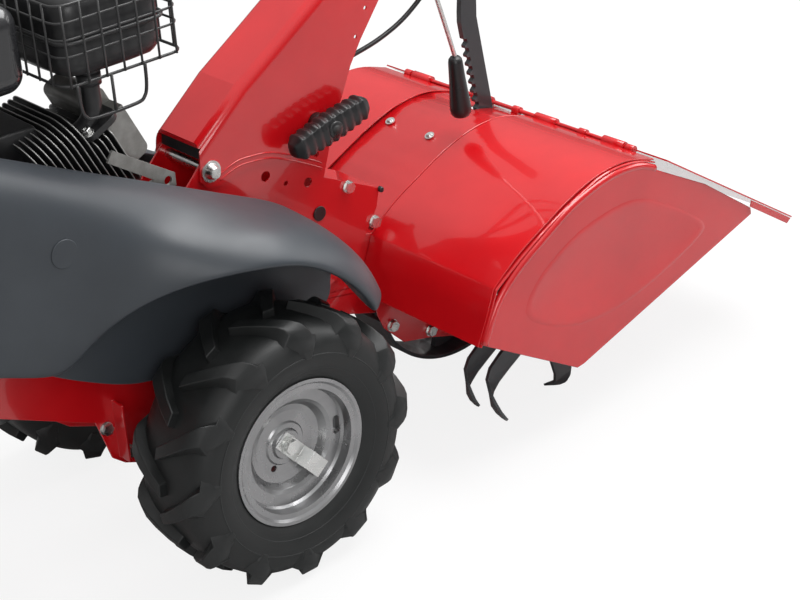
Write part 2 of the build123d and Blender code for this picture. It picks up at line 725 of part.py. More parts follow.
with BuildPart() as rear_flap:
    slope = atan2(FLAP_TIP[1] - HINGE[1], FLAP_TIP[0] - HINGE[0])
    normal = (-sin(slope), cos(slope))
    with BuildSketch(side_plane(-FLAP_HALF)):
        with BuildLine():
            near = (HINGE[0] + 6 * cos(slope), HINGE[1] + 6 * sin(slope))
            Polyline(near, FLAP_TIP, (FLAP_TIP[0] + 2 * normal[0], FLAP_TIP[1] + 2 * normal[1]),
                     (near[0] + 2 * normal[0], near[1] + 2 * normal[1]), close=True)
        make_face()
    extrude(amount=2 * FLAP_HALF)
    for x in hinge_slots:
        with BuildSketch(side_plane(x - 18, *HINGE)):
            Circle(6.5)
        extrude(amount=36)
        with BuildSketch(side_plane(x - 19, *HINGE)):
            Circle(3.05)
        extrude(amount=38, mode=Mode.SUBTRACT)
finish(rear_flap.part, "rear_flap")

with BuildPart() as flap_hinge_rod:
    with BuildSketch(side_plane(-215, *HINGE)):
        Circle(3.0)
    extrude(amount=430)
    for x in (-214, -120, 0, 120, 202):
        with BuildSketch(side_plane(x, *HINGE)):
            Circle(5.5)
        extrude(amount=12)
        with Locations((x + 6, HINGE[0] - 3.4, HINGE[1] - 3)):
            Box(12, 6, 4)
finish(flap_hinge_rod.part, "flap_hinge_rod")

INNER_X = 60.0          # outside face of the hood's inner plates
INNER_BOLTS = ((299, 138), (364, 104))
INNER_OUTLINE = [
    (272.5, 189), (301.5, 255), (345, 262), (402, 210), (414, 150), (410, 76), (363, 93), (318, 105),
    (286, 138), (277, 160),
]
with BuildPart() as hood_inner_plates:
    for sign in (1, -1):
        add(side_polygon(INNER_OUTLINE, sign * (INNER_X - SHEET), sign * INNER_X))
finish(hood_inner_plates.part, "hood_inner_plates")

# ---------------------------------------------------------------- skid and depth bar
with BuildPart() as skid:
    with BuildSketch(side_plane(-30)):
        with BuildLine():
            Line((306, 128), (322, 92))
            ThreePointArc((322, 92), (392, 36), (470, 28))
            Line((470, 28), (512, 44))
            Line((512, 44), (510, 49))
            Line((510, 49), (469.5, 33))
            ThreePointArc((469.5, 33), (394, 41), (327, 94))
            Line((327, 94), (311, 130))
            Line((311, 130), (306, 128))
        make_face()
    extrude(amount=60)
    foot = ROTOR_Z - CASE_ROTOR_R - 0.1
    add(side_polygon([(420, 31), (480, 34), (466, foot), (434, foot)], -4, 4))
    add(side_polygon([(311, 118), (322, 96), (341, 126), (322, 133)], -4, 4))
finish(skid.part, "skid")

bar_up = (-sin(radians(BAR_LEAN)), cos(radians(BAR_LEAN)))


def along_bar(u, v):
    """Point of the depth bar's own frame: u rearward across it, v up along it."""
    return (BAR_TOP[0] + u * bar_up[1] + v * bar_up[0], BAR_TOP[1] - u * bar_up[0] + v * bar_up[1])


BAR_HALF = 14.5
TOOTH_PITCH = 13.5
with BuildPart() as depth_bar:
    outline = [along_bar(-BAR_HALF, -235), along_bar(-BAR_HALF, -12)]
    for k in range(9):
        v = -6 + TOOTH_PITCH * k
        outline += [along_bar(-BAR_HALF, v), along_bar(-BAR_HALF + 5, v + 3), along_bar(-BAR_HALF + 5, v + 8),
                    along_bar(-BAR_HALF, v + 9.5)]
    outline += [along_bar(-BAR_HALF, 136), along_bar(-BAR_HALF + 3, 150), (521, 494), (520, 560),
                (530, 566), (548, 560), (549, 494), along_bar(BAR_HALF + 3, 146), along_bar(BAR_HALF, 132),
                along_bar(BAR_HALF, -235), along_bar(0, -262)]
    add(side_polygon(outline, BAR_X - 4, BAR_X + 4))
finish(depth_bar.part, "depth_bar")

# ---------------------------------------------------------------- tine rotor
with BuildPart() as tine_shaft:
    with BuildSketch(side_plane(-236, *ROTOR)):
        Circle(TINE_SHAFT_R)
    extrude(amount=472)
finish(tine_shaft.part, "tine_shaft")

FLANGES = (  # distance from the middle, length of the blades' feet, (bend, turn) of each blade pair
    (150.0, 32.0, ((1, 210), (-1, 304))),
    (188.0, 44.0, ((1, 210), (-1, 270 + LOW_BLADE))),
)
FLANGE_R = 48.0
FLANGE_THICK = 6.0
FLANGE_HUB = 30.0
BLADE_THICK = 6.0
flanges = []
for sign in (1, -1):
    for x, foot_length, blade_pairs in FLANGES:
        with BuildPart() as flange:
            with BuildSketch(side_plane(sign * x - FLANGE_THICK / 2, *ROTOR)):
                Circle(FLANGE_R)
                Circle(TINE_SHAFT_R, mode=Mode.SUBTRACT)
            extrude(amount=FLANGE_THICK)
            with BuildSketch(side_plane(sign * x - FLANGE_HUB / 2, *ROTOR)):
                Circle(TINE_SHAFT_R + 6)
                Circle(TINE_SHAFT_R, mode=Mode.SUBTRACT)
            extrude(amount=FLANGE_HUB)
        flanges.append(flange.part)
finish(group(flanges), "tine_flanges")


def tine_blade(x_face, bend, turn, foot):
    """L-shaped blade on a flange face: its foot bends towards bend (+1 or -1 along X)."""
    angle = radians(turn)
    radial = (0, cos(angle), sin(angle))
    place = Plane(origin=(x_face, ROTOR[0], ROTOR[1]), x_dir=(bend, 0, 0),
                  z_dir=(0, -bend * sin(angle), bend * cos(angle)))
    reach = sqrt(ROTOR_R ** 2 - (BLADE_WIDE / 2) ** 2)
    with BuildPart() as blade:
        with BuildSketch(place):
            with BuildLine():
                flip = 1 if place.y_dir.dot(Vector(*radial)) > 0 else -1
                Line((0, flip * 24), (0, flip * (reach - 24)))
                ThreePointArc((0, flip * (reach - 24)), (7, flip * (reach - 7)), (24, flip * reach))
                Line((24, flip * reach), (foot - 2, flip * reach))
                Line((foot - 2, flip * reach), (foot, flip * (reach - 4)))
                Line((foot, flip * (reach - 4)), (24, flip * (reach - BLADE_THICK)))
                ThreePointArc((24, flip * (reach - BLADE_THICK)), (11.2, flip * (reach - 11.2)),
                              (BLADE_THICK, flip * (reach - 24)))
                Line((BLADE_THICK, flip * (reach - 24)), (BLADE_THICK, flip * 24))
                Line((BLADE_THICK, flip * 24), (0, flip * 24))
            make_face()
        extrude(amount=BLADE_WIDE / 2, both=True)
    return blade.part


for side_name, sign in wheel_signs:
    blades = []
    for x, foot_length, blade_pairs in FLANGES:
        for bend, turn in blade_pairs:
            face = sign * (x + bend * FLANGE_THICK / 2)
            blades.append(tine_blade(face, sign * bend, turn, foot_length))
            blades.append(tine_blade(face, sign * bend, turn + 180, foot_length))
    finish(group(blades), f"tine_blades_{side_name}")

# ---------------------------------------------------------------- engine
LEAN = radians(25)      # cylinder axis above the horizontal, rearwards
CYL_AXIS = (cos(LEAN), sin(LEAN))
CYL_X = 15.0


def cyl_point(along, up):
    """Point of the slanted cylinder's frame, from the crankshaft."""
    return (CRANK[0] + along * CYL_AXIS[0] - up * CYL_AXIS[1], CRANK[1] + along * CYL_AXIS[1] + up * CYL_AXIS[0])


def cyl_block(a_from, a_to, low, high, x_from, x_to):
    corners = [cyl_point(a_from, low), cyl_point(a_to, low), cyl_point(a_to, high), cyl_point(a_from, high)]
    return side_polygon(corners, x_from, x_to)


FOOT_Z = 372.0          # top of the engine's feet
with BuildPart() as crankcase:
    add(side_polygon([(-310, DECK_Z), (-108, DECK_Z), (-108, FOOT_Z), (-134, FOOT_Z), (-152, 392), (-120, 440),
                      (-158, 560), (-250, 562), (-286, 500), (-284, FOOT_Z), (-310, FOOT_Z)], -96, 50))
    with BuildSketch(side_plane(50, *CRANK)):
        Circle(60)
    extrude(amount=12)
    with BuildSketch(side_plane(62, *CRANK)):
        Circle(26)
    extrude(amount=10)
    with BuildSketch(side_plane(-100, *CRANK)):
        Circle(9.5 + RUN)
    extrude(amount=180, mode=Mode.SUBTRACT)
finish(crankcase.part, "crankcase")

FIN_PITCH = 7.6
PORT_UP = 24.0          # exhaust port face, above the cylinder's axis
with BuildPart() as cylinder_block:
    add(cyl_block(52, 140, -46, 50, -32, 62))
    for k in range(11):
        along = 58 + FIN_PITCH * k
        add(cyl_block(along, along + 2.2, -62, 72, -50, 80))
    add(crankcase.part, mode=Mode.SUBTRACT)
    add(cyl_block(118, 180, PORT_UP, 95, 40, 90), mode=Mode.SUBTRACT)
finish(cylinder_block.part, "cylinder_block")

with BuildPart() as rocker_cover:
    add(cyl_block(140, 172, -42, 46, -34, 64))
    fillet(rocker_cover.edges().filter_by(Axis.X), 9)
    add(cyl_block(118, 180, PORT_UP, 95, 40, 90), mode=Mode.SUBTRACT)
finish(rocker_cover.part, "rocker_cover")

finish(cross_rod(*CRANK, -124, BELT_X + 12, 9.5), "crankshaft")

with BuildPart() as recoil_housing:
    with BuildSketch(side_plane(-96, *CRANK)):
        Circle(96)
        Circle(20, mode=Mode.SUBTRACT)
    extrude(amount=-58)
    fillet(recoil_housing.faces().sort_by(Axis.X)[0].edges().filter_by(GeomType.CIRCLE).sort_by(
        SortBy.LENGTH)[-1], 12)
    with BuildSketch(side_plane(-154, *CRANK)):
        Circle(62)
    extrude(amount=-18)
    with BuildSketch(side_plane(-96, *CRANK)):
        Circle(84)
    extrude(amount=-54, mode=Mode.SUBTRACT)
finish(recoil_housing.part, "recoil_housing")

with BuildPart() as starter_grip:
    with Locations((-152, -262, 575)):
        Box(16, 60, 14)
    fillet(starter_grip.edges(), 5)
    with Locations((-152, -262, 560)):
        Cylinder(2.5, 34)
finish(starter_grip.part, "starter_grip")

MUFFLER_LOW = (-70.0, -140.0, 608.0)
MUFFLER_HIGH = (96.0, -12.0, 702.0)


def corner_box(low, high, radius=0.0):
    """A box between two corners with all edges rounded."""
    with BuildPart() as block:
        with Locations(tuple((a + b) / 2 for a, b in zip(low, high))):
            Box(*[b - a for a, b in zip(low, high)])
        if radius:
            fillet(block.edges(), radius)
    return block.part


finish(corner_box(MUFFLER_LOW, MUFFLER_HIGH, 20), "muffler")

WIRE = 2.2


def ring_wire(z, grow):
    """A rounded rectangular wire hoop round the muffler at one height."""
    x0, y0 = MUFFLER_LOW[0] - grow, MUFFLER_LOW[1] - grow
    x1, y1 = MUFFLER_HIGH[0] + grow, MUFFLER_HIGH[1] + grow
    with BuildPart() as hoop:
        with BuildSketch(Plane.XY.offset(z - WIRE)):
            with Locations(((x0 + x1) / 2, (y0 + y1) / 2)):
                RectangleRounded(x1 - x0 + 2 * WIRE, y1 - y0 + 2 * WIRE, 14 + WIRE)
                RectangleRounded(x1 - x0 - 2 * WIRE, y1 - y0 - 2 * WIRE, 14 - WIRE, mode=Mode.SUBTRACT)
        extrude(amount=2 * WIRE)
    return hoop.part


GUARD_GROW = 9.0
with BuildPart() as muffler_guard:
    for z in (610, 643, 661, 679, 697):
        add(ring_wire(z, GUARD_GROW))
    side_x = MUFFLER_HIGH[0] + GUARD_GROW + 1.5
    for y in (-134, -106, -78, -50, -22):
        with Locations((side_x, y, 653.5)):
            Cylinder(WIRE, 90)
    front_y = MUFFLER_LOW[1] - GUARD_GROW - 1.5
    back_y = MUFFLER_HIGH[1] + GUARD_GROW + 1.5
    for y in (front_y, back_y):
        for x in (-60, -24, 12, 48, 84):
            with Locations((x, y, 653.5)):
                Cylinder(WIRE, 90)
    for y in (-134, -82, -56):
        with Locations((side_x, y, 592)):
            Cylinder(WIRE, 40)
    with Locations((side_x, -95, 573)):
        Cylinder(WIRE, 80, rotation=(90, 0, 0))
finish(muffler_guard.part, "muffler_guard")

with BuildPart() as exhaust_pipe:
    with Locations((62, -94, 547)):
        Cylinder(11, 61, align=(Align.CENTER, Align.CENTER, Align.MIN))
    add(cyl_block(119, 164, PORT_UP + 0.1, PORT_UP + 8, 42, 84))
finish(exhaust_pipe.part, "exhaust_pipe")

with BuildPart() as fuel_tank:
    add(corner_box((-150, -350, 606), (74, -168, 700), 22))
    with Locations((-40, -262, 700)):
        Cylinder(30, 24, align=(Align.CENTER, Align.CENTER, Align.MIN))
    add(corner_box((-60, -300, 562.5), (20, -220, 612)))
finish(fuel_tank.part, "fuel_tank")

finish(corner_box((-186, -150, 596), (-84, -44, 706), 14), "air_filter")

# ---------------------------------------------------------------- belt tensioner
TENSION_PIVOT = (-27.0, 462.0)
IDLER = (-78.7, 457.7)  # rests clear of the belt until the drive lever is squeezed
IDLER_R = 16.0
ARM_X = 80.5            # inboard face of the arm, just clear of the belt guard
ARM_THICK = 3.0
with BuildPart() as tensioner_arm:
    add(side_polygon([(-34, 449), (-17, 453), (-17, 468), (-92, 519), (-100, 507), (-44, 468)],
                     ARM_X, ARM_X + ARM_THICK))
    add(side_polygon([(-20, 452), (-24, 472), (-80, 463), (-91, 452), (-84, 440)], ARM_X, ARM_X + ARM_THICK))
    add(cross_rod(*TENSION_PIVOT, ARM_X - 1, ARM_X + ARM_THICK + 1, 5.05), mode=Mode.SUBTRACT)
    add(cross_rod(*IDLER, ARM_X, 110, 5.0))
finish(tensioner_arm.part, "tensioner_arm")
finish(cross_rod(*IDLER, 93, 109, IDLER_R, 5.0 + RUN), "idler_pulley")

# ---------------------------------------------------------------- handlebar
SWIVEL_DIR = (0, 40, 38)
head_place = Plane(origin=(0, 421.0, 692.0), x_dir=(1, 0, 0), z_dir=SWIVEL_DIR)
BAR_TUBE_R = 13.5
with BuildPart() as handlebar:
    with BuildSketch(head_place.offset(GAP)):
        Circle(40)
    extrude(amount=14)
    for sign in (1, -1):
        path = [(sign * 24, 426, 698), (sign * 26, 520, 800), (sign * 200, 690, 908), (sign * 290, 830, 948),
                (sign * 290, 985, 975)]
        add(bend_tube(path, BAR_TUBE_R, [60, 90, 110]))
    with Locations((0, 690, 908)):
        Cylinder(9, 398, rotation=(0, 90, 0))
    for sign in (1, -1):
        add(cross_rod(846, 974, sign * 290 - 11, sign * 290 + 11, 3.0))
        for x in (sign * 290 - 11, sign * 290 + 7.5):
            add(side_polygon([(838, 956), (854, 958), (852, 981), (840, 981)], x, x + 3.5))
finish(handlebar.part, "handlebar")

grip_dir = Vector(0, 155, 27).normalized()
grips = []
for sign in (1, -1):
    place = Plane(origin=(sign * 290, 985, 975), z_dir=grip_dir).offset(-118)
    with BuildPart(place) as grip:
        Cylinder(18, 124, align=(Align.CENTER, Align.CENTER, Align.MIN))
        Cylinder(BAR_TUBE_R, 118, align=(Align.CENTER, Align.CENTER, Align.MIN), mode=Mode.SUBTRACT)
        fillet(grip.edges().filter_by(GeomType.CIRCLE).sort_by(Axis.Y)[-1], 5)
    grips.append(grip.part)
finish(group(grips), "handlebar_grips")

LEVER_OUTLINE = [
    (838, 973), (844, 967), (852, 969), (884, 992), (972, 1013), (977, 1017), (970, 1019), (880, 998), (843, 981),
]
for lever_name, sign in (("drive_lever", 1), ("reverse_lever", -1)):
    with BuildPart() as lever:
        add(side_polygon(LEVER_OUTLINE, sign * 290 - 7, sign * 290 + 7))
        add(cross_rod(846, 974, sign * 290 - 8, sign * 290 + 8, 3.05), mode=Mode.SUBTRACT)
    finish(lever.part, lever_name)

# ---------------------------------------------------------------- hanging lock lever
LOCK_PIVOT = (398.0, 640.0)
LOCK_X = 30.0
with BuildPart() as lock_lever:
    add(bend_tube([(LOCK_X, 399, 634), (LOCK_X, 434, 532), (LOCK_X, 460, 440)], 2.6, [300]))
    add(cross_rod(*LOCK_PIVOT, LOCK_X - 4, LOCK_X + 4, 7.0))
    add(cross_rod(*LOCK_PIVOT, LOCK_X - 5, LOCK_X + 5, 3.05), mode=Mode.SUBTRACT)
    with BuildSketch(Plane(origin=(LOCK_X, 458.6, 446), x_dir=(1, 0, 0), z_dir=(0, 7, -79))):
        Circle(9.0)
    extrude(amount=66, taper=-4.2)
    with Locations((LOCK_X, 464.4, 380.3)):
        Sphere(13.8)
finish(lock_lever.part, "lock_lever")

# ---------------------------------------------------------------- control cables
CABLE_R = 3.0


def cable(points):
    """A cable whose bends are as large as the runs beside them allow."""
    radii = []
    for a, b, c in zip(points, points[1:], points[2:]):
        before = Vector(*b) - Vector(*a)
        after = Vector(*c) - Vector(*b)
        half_turn = radians(before.get_angle(after)) / 2
        radii.append(0.45 * min(before.length, after.length) / (sin(half_turn) / cos(half_turn)))
    return bend_tube(points, CABLE_R, radii)


lower_routes = [
    [(14, 168, 500), (14, 212, 487), (14, 256, 486), (14, 300, 492), (14, 344, 499), (14, 387, 513),
     (13, 427, 537), (11, 462, 573), (8, 488, 620), (5, 500, 672), (4, 494, 718), (4, 479, 748)],
    [(-10, 190, 520), (-10, 232, 507), (-10, 273, 504), (-10, 313, 511), (-10, 347, 527), (-10, 380, 549),
     (-9, 412, 576), (-7, 444, 610), (-5, 470, 654), (-4, 481, 702), (-4, 473, 744)],
]
upper_route = [
    (4, 485, 754), (11, 510, 765), (34, 540, 786), (66, 569, 806), (112, 609, 833), (164, 656, 862),
    (208, 706, 884), (240, 757, 902), (256, 804, 922), (264, 848, 944),
]
upper_routes = [[(sign * x, y, z) for x, y, z in upper_route] for sign in (1, -1)]
finish(group([cable(route) for route in lower_routes]), "control_cables")
finish(group([cable(route) for route in upper_routes]), "upper_cables")

# ---------------------------------------------------------------- fasteners
HOOD_BOLTS_X = (-92.0, -15.0)
body_bolts = []
for x in HOOD_BOLTS_X:
    place = Plane(origin=(x, 449, 331.2), x_dir=(1, 0, 0), z_dir=(0, -0.40, 0.917))
    body_bolts.append(dome_bolt(place))
side_bolts = (
    (260, 341, BRACKET_X), (298, 280, BRACKET_X), (-137, 184, CHASSIS_HALF), (-112.5, 142, CHASSIS_HALF),
    *((y, z, INNER_X) for y, z in INNER_BOLTS),
)
for y, z, x in side_bolts:
    for sign in (1, -1):
        place = Plane(origin=(sign * x, y, z), x_dir=(0, 1, 0), z_dir=(sign, 0, 0))
        body_bolts.append(hex_bolt(place, 0, 8))
for y in (-298, -121):
    for x in (-70, 30):
        body_bolts.append(hex_bolt(Plane(origin=(x, y, FOOT_Z)), 0, 8))
finish(group(body_bolts), "body_bolts")
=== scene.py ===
import json
import math

import bmesh
import bpy
from mathutils import Matrix, Vector


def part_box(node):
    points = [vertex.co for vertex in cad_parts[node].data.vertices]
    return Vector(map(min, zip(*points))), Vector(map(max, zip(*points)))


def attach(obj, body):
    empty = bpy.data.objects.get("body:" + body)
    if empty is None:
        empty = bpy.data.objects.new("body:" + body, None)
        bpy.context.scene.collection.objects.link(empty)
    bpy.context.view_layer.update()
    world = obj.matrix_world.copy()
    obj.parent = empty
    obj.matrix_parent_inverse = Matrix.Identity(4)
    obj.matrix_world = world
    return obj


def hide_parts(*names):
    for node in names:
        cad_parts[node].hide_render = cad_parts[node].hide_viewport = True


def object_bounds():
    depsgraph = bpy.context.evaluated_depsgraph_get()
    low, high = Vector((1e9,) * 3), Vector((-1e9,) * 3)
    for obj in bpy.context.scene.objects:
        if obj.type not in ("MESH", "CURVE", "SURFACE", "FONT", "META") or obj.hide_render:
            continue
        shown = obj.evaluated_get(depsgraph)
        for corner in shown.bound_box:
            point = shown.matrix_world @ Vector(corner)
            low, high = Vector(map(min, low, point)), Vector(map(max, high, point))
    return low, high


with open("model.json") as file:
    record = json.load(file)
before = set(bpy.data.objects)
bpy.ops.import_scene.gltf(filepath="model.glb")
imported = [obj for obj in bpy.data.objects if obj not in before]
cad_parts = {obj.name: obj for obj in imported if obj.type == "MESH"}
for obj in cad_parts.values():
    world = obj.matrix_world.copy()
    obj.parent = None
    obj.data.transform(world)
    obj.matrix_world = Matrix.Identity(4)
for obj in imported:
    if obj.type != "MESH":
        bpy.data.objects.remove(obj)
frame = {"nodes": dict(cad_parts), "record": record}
cad_box = [list(map(float, corner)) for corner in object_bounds()]
MM = 0.001


def middle(node):
    low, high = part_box(node)
    return (Vector(low) + Vector(high)) / 2


AXLE = middle("wheel_axle")         # every side-view place below is (rearward, up, left) in millimetres,
GROUND = Vector(cad_box[0]).z       # rearward of the wheel axle, up from the ground


def at(y, z, x=0.0):
    """World point of a side-view place: y behind the axle, z above the ground, x to the left."""
    return Vector((x * MM, AXLE.y + y * MM, GROUND + z * MM))


# ------------------------------------------------------------------ materials
def new_material(name):
    material = bpy.data.materials.new(name)
    material.use_nodes = True
    return material, material.node_tree, material.node_tree.nodes["Principled BSDF"]


def noise(tree, scale, detail=4.0, roughness=0.55, stretch=None):
    """A noise texture on object coordinates, optionally stretched along the axes."""
    place = tree.nodes.new("ShaderNodeTexCoord")
    texture = tree.nodes.new("ShaderNodeTexNoise")
    texture.inputs["Scale"].default_value = scale
    texture.inputs["Detail"].default_value = detail
    texture.inputs["Roughness"].default_value = roughness
    if stretch:
        mapping = tree.nodes.new("ShaderNodeMapping")
        mapping.inputs["Scale"].default_value = stretch
        tree.links.new(place.outputs["Object"], mapping.inputs["Vector"])
        tree.links.new(mapping.outputs["Vector"], texture.inputs["Vector"])
    else:
        tree.links.new(place.outputs["Object"], texture.inputs["Vector"])
    return texture


def remap(tree, source, low, high, start=0.35, stop=0.65):
    ramp = tree.nodes.new("ShaderNodeMapRange")
    ramp.inputs["From Min"].default_value = start
    ramp.inputs["From Max"].default_value = stop
    ramp.inputs["To Min"].default_value = low
    ramp.inputs["To Max"].default_value = high
    tree.links.new(source, ramp.inputs["Value"])
    return ramp.outputs["Result"]


def mix(tree, factor, first, second):
    """Mixes two colours, each a socket or a plain colour, by a socket or number."""
    node = tree.nodes.new("ShaderNodeMix")
    node.data_type = "RGBA"
    for index, value in ((0, factor), (6, first), (7, second)):
        if isinstance(value, bpy.types.NodeSocket):
            tree.links.new(value, node.inputs[index])
        elif index:
            node.inputs[index].default_value = (*value, 1.0)
        else:
            node.inputs[index].default_value = value
    return node.outputs[2]


def surface(name, base, shade, rough, metallic=0.0, coat=0.0, cloud=18.0, grain=900.0, bump=0.05,
            edge_wear_and_highlight=None, stretch=None, specular=0.5):
    """An uneven finish: clouded colour, uneven gloss, fine relief, and sharp edges painted lighter, partly
    wear and partly a painted highlight.
    """
    material, tree, shader = new_material(name)
    clouds = noise(tree, cloud, 5.0)
    fine = noise(tree, grain, 3.0, 0.6, stretch)
    color = mix(tree, remap(tree, clouds.outputs["Fac"], 0.0, 1.0), base, shade)
    # sharp edges are painted lighter: partly real wear, partly a painted highlight where edges catch the
    # light
    if edge_wear_and_highlight:
        geometry = tree.nodes.new("ShaderNodeNewGeometry")
        edge = remap(tree, geometry.outputs["Pointiness"], 0.0, 0.8, 0.53, 0.62)
        color = mix(tree, edge, color, edge_wear_and_highlight)
    tree.links.new(color, shader.inputs["Base Color"])
    tree.links.new(remap(tree, clouds.outputs["Fac"], rough[0], rough[1]), shader.inputs["Roughness"])
    relief = tree.nodes.new("ShaderNodeBump")
    relief.inputs["Strength"].default_value = bump
    relief.inputs["Distance"].default_value = 0.0006
    tree.links.new(fine.outputs["Fac"], relief.inputs["Height"])
    tree.links.new(relief.outputs["Normal"], shader.inputs["Normal"])
    shader.inputs["Metallic"].default_value = metallic
    shader.inputs["Coat Weight"].default_value = coat
    shader.inputs["Coat Roughness"].default_value = 0.04
    shader.inputs["Specular IOR Level"].default_value = specular
    return material


# the edge colours given here paint sharp edges lighter: partly wear, partly a painted highlight
finishes = {
    "red_paint": surface("red_paint", (0.62, 0.006, 0.010), (0.54, 0.004, 0.008), (0.20, 0.27), coat=0.8,
                         cloud=9, grain=260, bump=0.035),
    "guard_plastic": surface("guard_plastic", (0.042, 0.049, 0.058), (0.037, 0.043, 0.051), (0.40, 0.48),
                             cloud=14, grain=1500, bump=0.10, edge_wear_and_highlight=(0.10, 0.11, 0.125)),
    "tyre_rubber": surface("tyre_rubber", (0.009, 0.010, 0.010), (0.014, 0.015, 0.015), (0.40, 0.54),
                           cloud=26, grain=700, bump=0.16, edge_wear_and_highlight=(0.032, 0.033, 0.034), specular=0.42),
    "rim_paint": surface("rim_paint", (0.36, 0.36, 0.365), (0.31, 0.31, 0.315), (0.24, 0.34), metallic=0.85,
                         cloud=22, grain=1400, bump=0.05),
    "zinc": surface("zinc", (0.76, 0.76, 0.74), (0.64, 0.65, 0.64), (0.22, 0.34), metallic=1.0, cloud=90,
                    grain=500, bump=0.04, edge_wear_and_highlight=(0.85, 0.85, 0.84)),
    "bright_steel": surface("bright_steel", (0.46, 0.46, 0.46), (0.38, 0.38, 0.38), (0.25, 0.4),
                            metallic=1.0, grain=260, bump=0.05, stretch=(1, 8, 8)),
    "dark_steel": surface("dark_steel", (0.022, 0.024, 0.028), (0.030, 0.032, 0.036), (0.28, 0.40),
                          cloud=30, grain=900, bump=0.06, edge_wear_and_highlight=(0.16, 0.16, 0.16), coat=0.2),
    "black_plastic": surface("black_plastic", (0.010, 0.010, 0.011), (0.016, 0.016, 0.017), (0.26, 0.38),
                             cloud=40, grain=1600, bump=0.05, edge_wear_and_highlight=(0.03, 0.03, 0.03)),
    "cast_alloy": surface("cast_alloy", (0.36, 0.355, 0.34), (0.28, 0.275, 0.26), (0.40, 0.55),
                          metallic=0.75, cloud=60, grain=1100, bump=0.25, edge_wear_and_highlight=(0.5, 0.5, 0.49)),
    "engine_black": surface("engine_black", (0.012, 0.012, 0.013), (0.022, 0.022, 0.023), (0.28, 0.42),
                            cloud=50, grain=1300, bump=0.12, edge_wear_and_highlight=(0.06, 0.06, 0.06)),
    "tank_paint": surface("tank_paint", (0.020, 0.020, 0.022), (0.026, 0.026, 0.028), (0.18, 0.26), coat=0.5,
                          cloud=12, grain=500, bump=0.02),
    "belt_rubber": surface("belt_rubber", (0.014, 0.014, 0.014), (0.024, 0.023, 0.022), (0.55, 0.7),
                           cloud=70, grain=1200, bump=0.2, stretch=(4, 1, 1)),
}
slot_of = {part["node"]: part["material_slot"] for part in frame["record"]["subparts"]}


def paint(piece, slot):
    piece.data.materials.clear()
    piece.data.materials.append(finishes[slot])
    for polygon in piece.data.polygons:
        polygon.use_smooth = True


def soften(piece, width, segments=2, angle=28.0):
    """Rounds sharp edges with a bevel and hardens its normals."""
    bevel = piece.modifiers.new("edges", "BEVEL")
    bevel.width = width * MM
    bevel.segments = segments
    bevel.limit_method = "ANGLE"
    bevel.angle_limit = math.radians(angle)
    bevel.harden_normals = True


for node, piece in frame["nodes"].items():
    for index in range(len(piece.material_slots)):
        piece.material_slots[index].link = "OBJECT"
        piece.material_slots[index].material = finishes[slot_of[node]]


# ------------------------------------------------------------------ mesh helpers
def make_piece(name, points, faces, body, slot):
    mesh = bpy.data.meshes.new(name)
    mesh.from_pydata([tuple(p) for p in points], [], faces)
    mesh.update()
    piece = bpy.data.objects.new(name, mesh)
    bpy.context.scene.collection.objects.link(piece)
    work = bmesh.new()
    work.from_mesh(mesh)
    bmesh.ops.recalc_face_normals(work, faces=work.faces)
    work.to_mesh(mesh)
    work.free()
    paint(piece, slot)
    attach(piece, body)
    return piece


def grid_faces(rows, columns, wrap_rows=False, wrap_columns=False, start=0):
    faces = []
    for i in range(rows if wrap_rows else rows - 1):
        for j in range(columns if wrap_columns else columns - 1):
            a, b = start + i * columns, start + (i + 1) % rows * columns
            k = (j + 1) % columns
            faces.append((a + j, a + k, b + k, b + j))
    return faces


def add_modifier(piece, kind, **values):
    modifier = piece.modifiers.new(kind.lower(), kind)
    for key, value in values.items():
        setattr(modifier, key, value)


# ------------------------------------------------------------------ tyres
TYRE_R = 165.0
LUGS = 12                  # lugs on each half of the tread
FIRST_LUG = 12             # where the first lug stands, in degrees from the rear
SHOULDER = 56              # past this distance across, a lug's foot follows the sidewall
TYRE_TURNS = 144
SIDE_RIBS = ((53.2, 99.5), (56.5, 104.5), (59.8, 122))   # (across, radius) of the sidewall's ribs
TREAD = [  # tyre section, (across the wheel, radius), bead to bead
    (-40, 84), (-44, 84), (-47, 88), (-52, 95), (-58, 106), (-60.5, 118), (-59, 131), (-54, 142), (-45, 149),
    (-30, 152.5), (0, 153.5), (30, 152.5), (45, 149), (54, 142), (59, 131), (60.5, 118), (58, 106), (52, 95),
    (47, 88), (44, 84), (40, 84),
]
LUG_LINE = [  # one lug's centre line: (across, turn in degrees, top radius, half width at top, at root)
    (-5, 0.6, 163.4, 8.0, 11.0), (12, -3.4, 164.8, 8.5, 12.5), (30, -8.0, 164.6, 9.5, 15.0),
    (43, -11.6, 163.4, 10.5, 19.0), (50, -13.6, 160.4, 12.0, 23.0), (55.0, -15.0, 154.5, 13.0, 26.0),
    (58.6, -16.2, 147.0, 13.0, 26.0), (60.8, -17.2, 138.5, 11.5, 23.0), (61.6, -18.0, 129.0, 8.5, 18.0),
    (61.2, -18.6, 120.0, 5.0, 12.0),
]


def wheel_point(centre, side, across, radius, turn):
    """Point of a wheel: turn in degrees from the rear over the top."""
    angle = math.radians(turn)
    return centre + Vector((side * across * MM, radius * MM * math.cos(angle),
                            radius * MM * math.sin(angle)))


def carcass_radius(across):
    """Radius of the tread under a lug, which falls away towards the shoulder."""
    return 151.0 - 11.0 * (max(0.0, abs(across) - 40.0) / 20.0) ** 2


